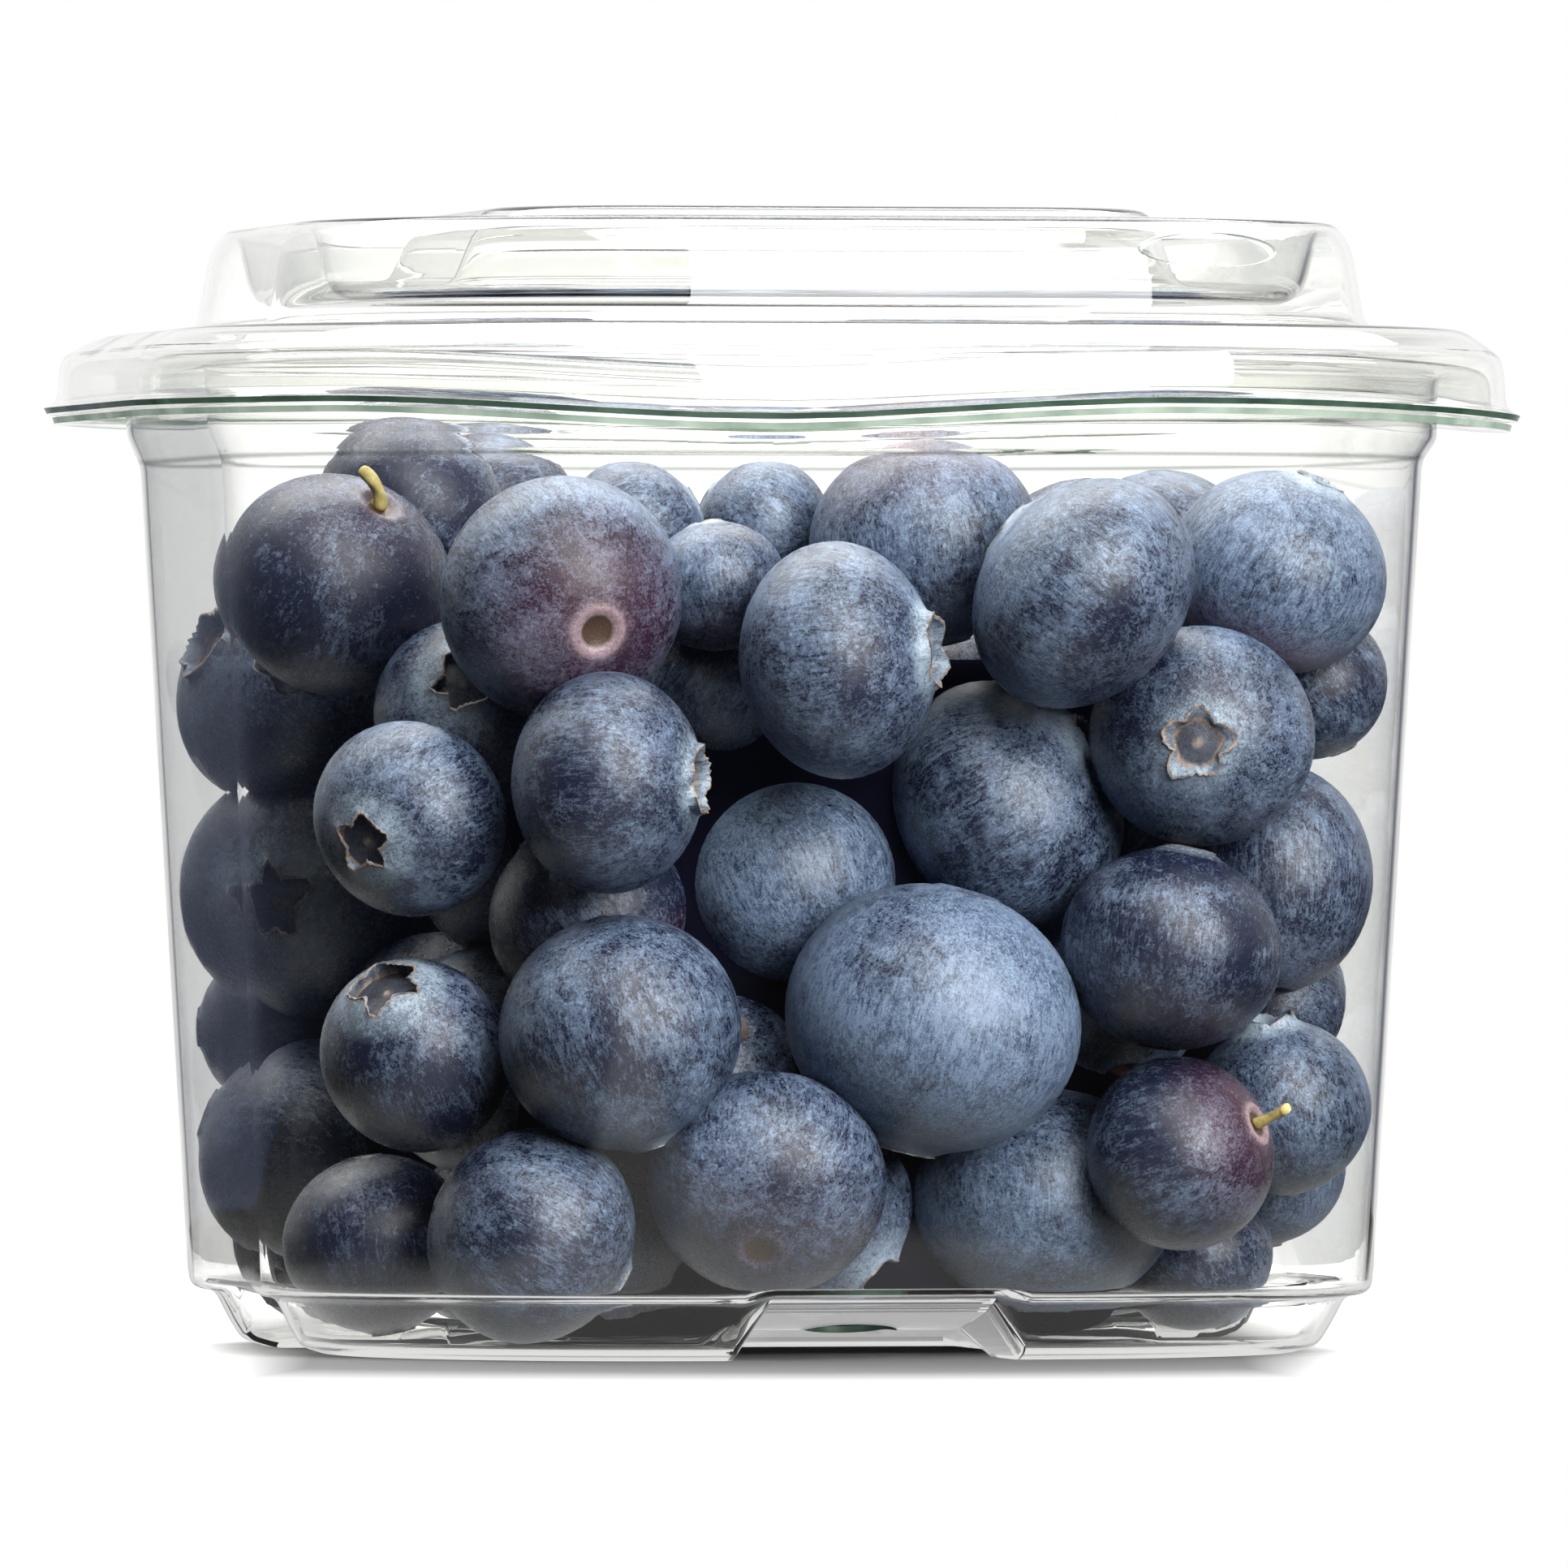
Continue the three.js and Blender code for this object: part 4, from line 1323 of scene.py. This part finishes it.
def berry_skin():
    """Dark skin under a patchy pale bloom; the marks painted on each berry give crown and scar."""
    material, tree, shader = new_material("blueberry_skin")
    place = attribute(tree, "own_place")["Vector"]
    own_bloom, own_red, from_crown = channels(tree, attribute(tree, "tone")["Color"])
    spots = attribute(tree, "spots")
    lobe, dry, hollow = channels(tree, spots["Color"])
    drawn_out = add_node(tree, "ShaderNodeVectorMath", operation="MULTIPLY", Vector=place)
    drawn_out.inputs[1].default_value = STREAK_STRETCH
    mottle = noise(tree, place, *MOTTLE)
    grain = noise(tree, place, *GRAIN)
    rubbed = noise(tree, drawn_out.outputs["Vector"], *STREAKS)
    spread = swing(tree, noise(tree, place, *PATCHES), PATCH_SWING)
    fleck = swing(tree, mottle, MOTTLE_SWING)
    fine = swing(tree, grain, GRAIN_SWING)
    streak = swing(tree, rubbed, STREAK_SWING)
    bloom = math_node(tree, "SUBTRACT", own_bloom, BARE_BELOW)
    for pattern in (spread, fleck, fine, streak):
        bloom = math_node(tree, "ADD", bloom, pattern)
    bloom = math_node(tree, "MULTIPLY", bloom, BLOOM_GAIN, True)
    scar_side = math_node(tree, "MULTIPLY", from_crown, SCAR_SIDE_GAIN)
    scar_side = math_node(tree, "SUBTRACT", scar_side, SCAR_SIDE_START, True)
    red = math_node(tree, "MULTIPLY", own_red, scar_side, True)
    red = math_node(tree, "ADD", red, math_node(tree, "MULTIPLY", spread, RED_PATCHES), True)
    dust = math_node(tree, "ADD", math_node(tree, "ADD", fleck, fine), streak)
    dust = math_node(tree, "ADD", math_node(tree, "MULTIPLY", dust, DUST_GAIN), DUST_MIDDLE, True)
    waxy = mix_color(tree, red, mix_color(tree, dust, WAX_THIN, WAX_THICK), WAX_RED)
    color = mix_color(tree, bloom, mix_color(tree, red, BARE_BLUE, BARE_RED), waxy)
    on_lobe = math_node(tree, "MULTIPLY", lobe, math_node(tree, "ADD", bloom, LOBE_BLOOM), True)
    color = mix_color(tree, on_lobe, color, LOBE_COLOR)
    color = mix_color(tree, math_node(tree, "MULTIPLY", hollow, HOLLOW_SHARE), color, HOLLOW_COLOR)
    torn = math_node(tree, "MULTIPLY", math_node(tree, "SUBTRACT", mottle, DRY_START), DRY_GAIN, True)
    color = mix_color(tree, math_node(tree, "MULTIPLY", dry, torn), color, DRY_COLOR)
    ring = math_node(tree, "MULTIPLY", spots["Alpha"], 1, True)
    pit = math_node(tree, "SUBTRACT", spots["Alpha"], 1, True)
    pale = math_node(tree, "MULTIPLY", ring, own_red)
    pale = math_node(tree, "MULTIPLY", pale, math_node(tree, "MULTIPLY", rubbed, RING_GAIN), True)
    color = mix_color(tree, pit, mix_color(tree, pale, color, RING_COLOR), PIT_COLOR)
    rough = math_node(tree, "ADD", math_node(tree, "MULTIPLY", bloom, WAX_ROUGH), BARE_ROUGH)
    height = math_node(tree, "ADD", mottle, math_node(tree, "MULTIPLY", grain, 0.5))
    set_inputs(
        tree, shader, Base_Color=color, Roughness=rough, Specular_IOR_Level=0.65,
        Normal=relief(tree, height, strength=0.4, depth=0.00016),
    )
    return material


# ---- Floor, light and camera ----
def floor():
    """Pale, with painted shade under the pack; in the gloss it glows, a painted reflection bright near
    by and behind.
    """
    bpy.ops.mesh.primitive_circle_add(vertices=FLOOR_SIDES, radius=FLOOR_RADIUS, fill_type="NGON")
    plane = bpy.context.object
    plane.name = "floor"
    material, tree, shader = new_material("pale_floor_painted_shade_and_glow")
    place = object_place(tree)
    beside = math_node(tree, "ABSOLUTE", along(tree, place, EYE_RIGHT))
    reach = add_node(tree, "ShaderNodeVectorMath", operation="LENGTH", Vector=place).outputs["Value"]
    # Painted shade: the floor's colour darkens under the pack, in place of a cast shadow.
    under = color_ramp(tree, beside, *zip(SHADE_HALF, (FLOOR_SHADE, FLOOR_BESIDE)))
    farther = color_ramp(tree, reach, *zip(SHADE_REACH, (FLOOR_SHADE, FLOOR_BESIDE)))
    set_inputs(
        tree, shader, Base_Color=mix_color(tree, 1.0, under, farther, "LIGHTEN"),
        Roughness=0.8, Specular_IOR_Level=0.2,
    )
    light = add_node(tree, "ShaderNodeLightPath").outputs
    # Painted reflection: in the gloss the floor glows, bright near the pack and behind it, dim farther
    # off and through two sheets.
    near = color_ramp(tree, reach, *zip(NEAR_REACH, (NEAR_PAINTED_GLOW, DIM_PAINTED_GLOW)))
    through = math_node(tree, "GREATER_THAN", light["Transmission Depth"], THROUGH_SHEET)
    near = mix_color(tree, through, near, DIM_PAINTED_GLOW)
    spread = math_node(tree, "MULTIPLY", along(tree, place, -TOWARDS_EYE), BEHIND_SPREAD)
    strip = math_node(tree, "SUBTRACT", beside, spread)
    behind = color_ramp(tree, strip, *zip(BEHIND_HALF, (BEHIND_PAINTED_GLOW, BLACK)))
    glow = add_node(tree, "ShaderNodeEmission", Color=mix_color(tree, 1.0, near, behind, "LIGHTEN"))
    show_instead(tree, math_node(tree, "GREATER_THAN", light["Glossy Depth"], ONCE), shader, glow)
    coat(plane, material)


def soft_box(name, place, width, height, power):
    light = bpy.data.lights.new(name, "AREA")
    light.shape = "RECTANGLE"
    light.size = width
    light.size_y = height
    light.energy = power
    box = bpy.data.objects.new(name, light)
    box.location = place
    box.rotation_euler = (Vector(LIGHT_TARGET) - Vector(place)).to_track_quat("-Z", "Y").to_euler()
    bpy.context.scene.collection.objects.link(box)


def sky():
    """White to the eye and in diffuse light; in the gloss it is white behind and dark in front."""
    world = bpy.data.worlds.new("studio")
    bpy.context.scene.world = world
    world.cycles.sampling_method = "NONE"
    world.use_nodes = True
    tree = world.node_tree
    way = add_node(tree, "ShaderNodeTexCoord").outputs["Generated"]
    up = add_node(tree, "ShaderNodeSeparateXYZ", Vector=way).outputs["Z"]
    light = add_node(tree, "ShaderNodeLightPath").outputs
    ahead = along(tree, way, -TOWARDS_EYE)
    over = color_ramp(tree, up, (0, BLACK), (HORIZON, WHITE))
    behind = mix_color(
        tree, over, color_ramp(tree, ahead, *LOW_IN_GLOSS), color_ramp(tree, ahead, *HIGH_IN_GLOSS),
    )
    twice = math_node(tree, "GREATER_THAN", light["Glossy Depth"], TWICE)
    behind = mix_color(tree, twice, behind, mix_color(tree, 1.0, behind, TWICE_REFLECTED, "LIGHTEN"))
    above = mix_color(tree, 1.0, color_ramp(tree, up, *THROUGH_PACK), BACKDROP, "MULTIPLY")
    seen = mix_color(tree, light["Is Camera Ray"], above, WHITE)
    seen = mix_color(tree, math_node(tree, "GREATER_THAN", light["Glossy Depth"], ONCE), seen, behind)
    shine = color_ramp(tree, along(tree, way, LIT_SIDE), (0, UNLIT), (1, WHITE))
    shine = mix_color(tree, 1.0, shine, SKY_LIGHT, "MULTIPLY")
    seen = mix_color(tree, math_node(tree, "GREATER_THAN", light["Diffuse Depth"], ONCE), seen, shine)
    set_inputs(tree, tree.nodes["Background"], Color=seen, Strength=1)


def camera():
    data = bpy.data.cameras.new("camera")
    data.sensor_width = SENSOR
    data.lens = LENS
    data.clip_start = 0.05
    data.clip_end = 50
    eye = bpy.data.objects.new("camera", data)
    place = TOWARDS_EYE * EYE_DISTANCE + EYE_RIGHT * EYE_ASIDE + UP * EYE_HEIGHT
    eye.location = place * MM
    eye.rotation_euler = (math.pi / 2, 0, -math.asin(VIEW_SIDE))
    bpy.context.scene.collection.objects.link(eye)
    bpy.context.scene.camera = eye


def studio():
    camera()
    floor()
    sky()
    for box in SOFT_BOXES:
        soft_box(*box)
    scene = bpy.context.scene
    scene.view_settings.view_transform = "Standard"
    scene.cycles.use_denoising = True
    scene.cycles.max_bounces = 24
    scene.cycles.transmission_bounces = 20
    scene.cycles.transparent_max_bounces = 24
    scene.cycles.glossy_bounces = 8
    scene.cycles.diffuse_bounces = 3
    scene.cycles.sample_clamp_indirect = 3
    scene.cycles.caustics_reflective = False
    scene.cycles.caustics_refractive = False


deselect_all()
studio()
tub()
lid()
front = berries()
stems(front)
heap_core()
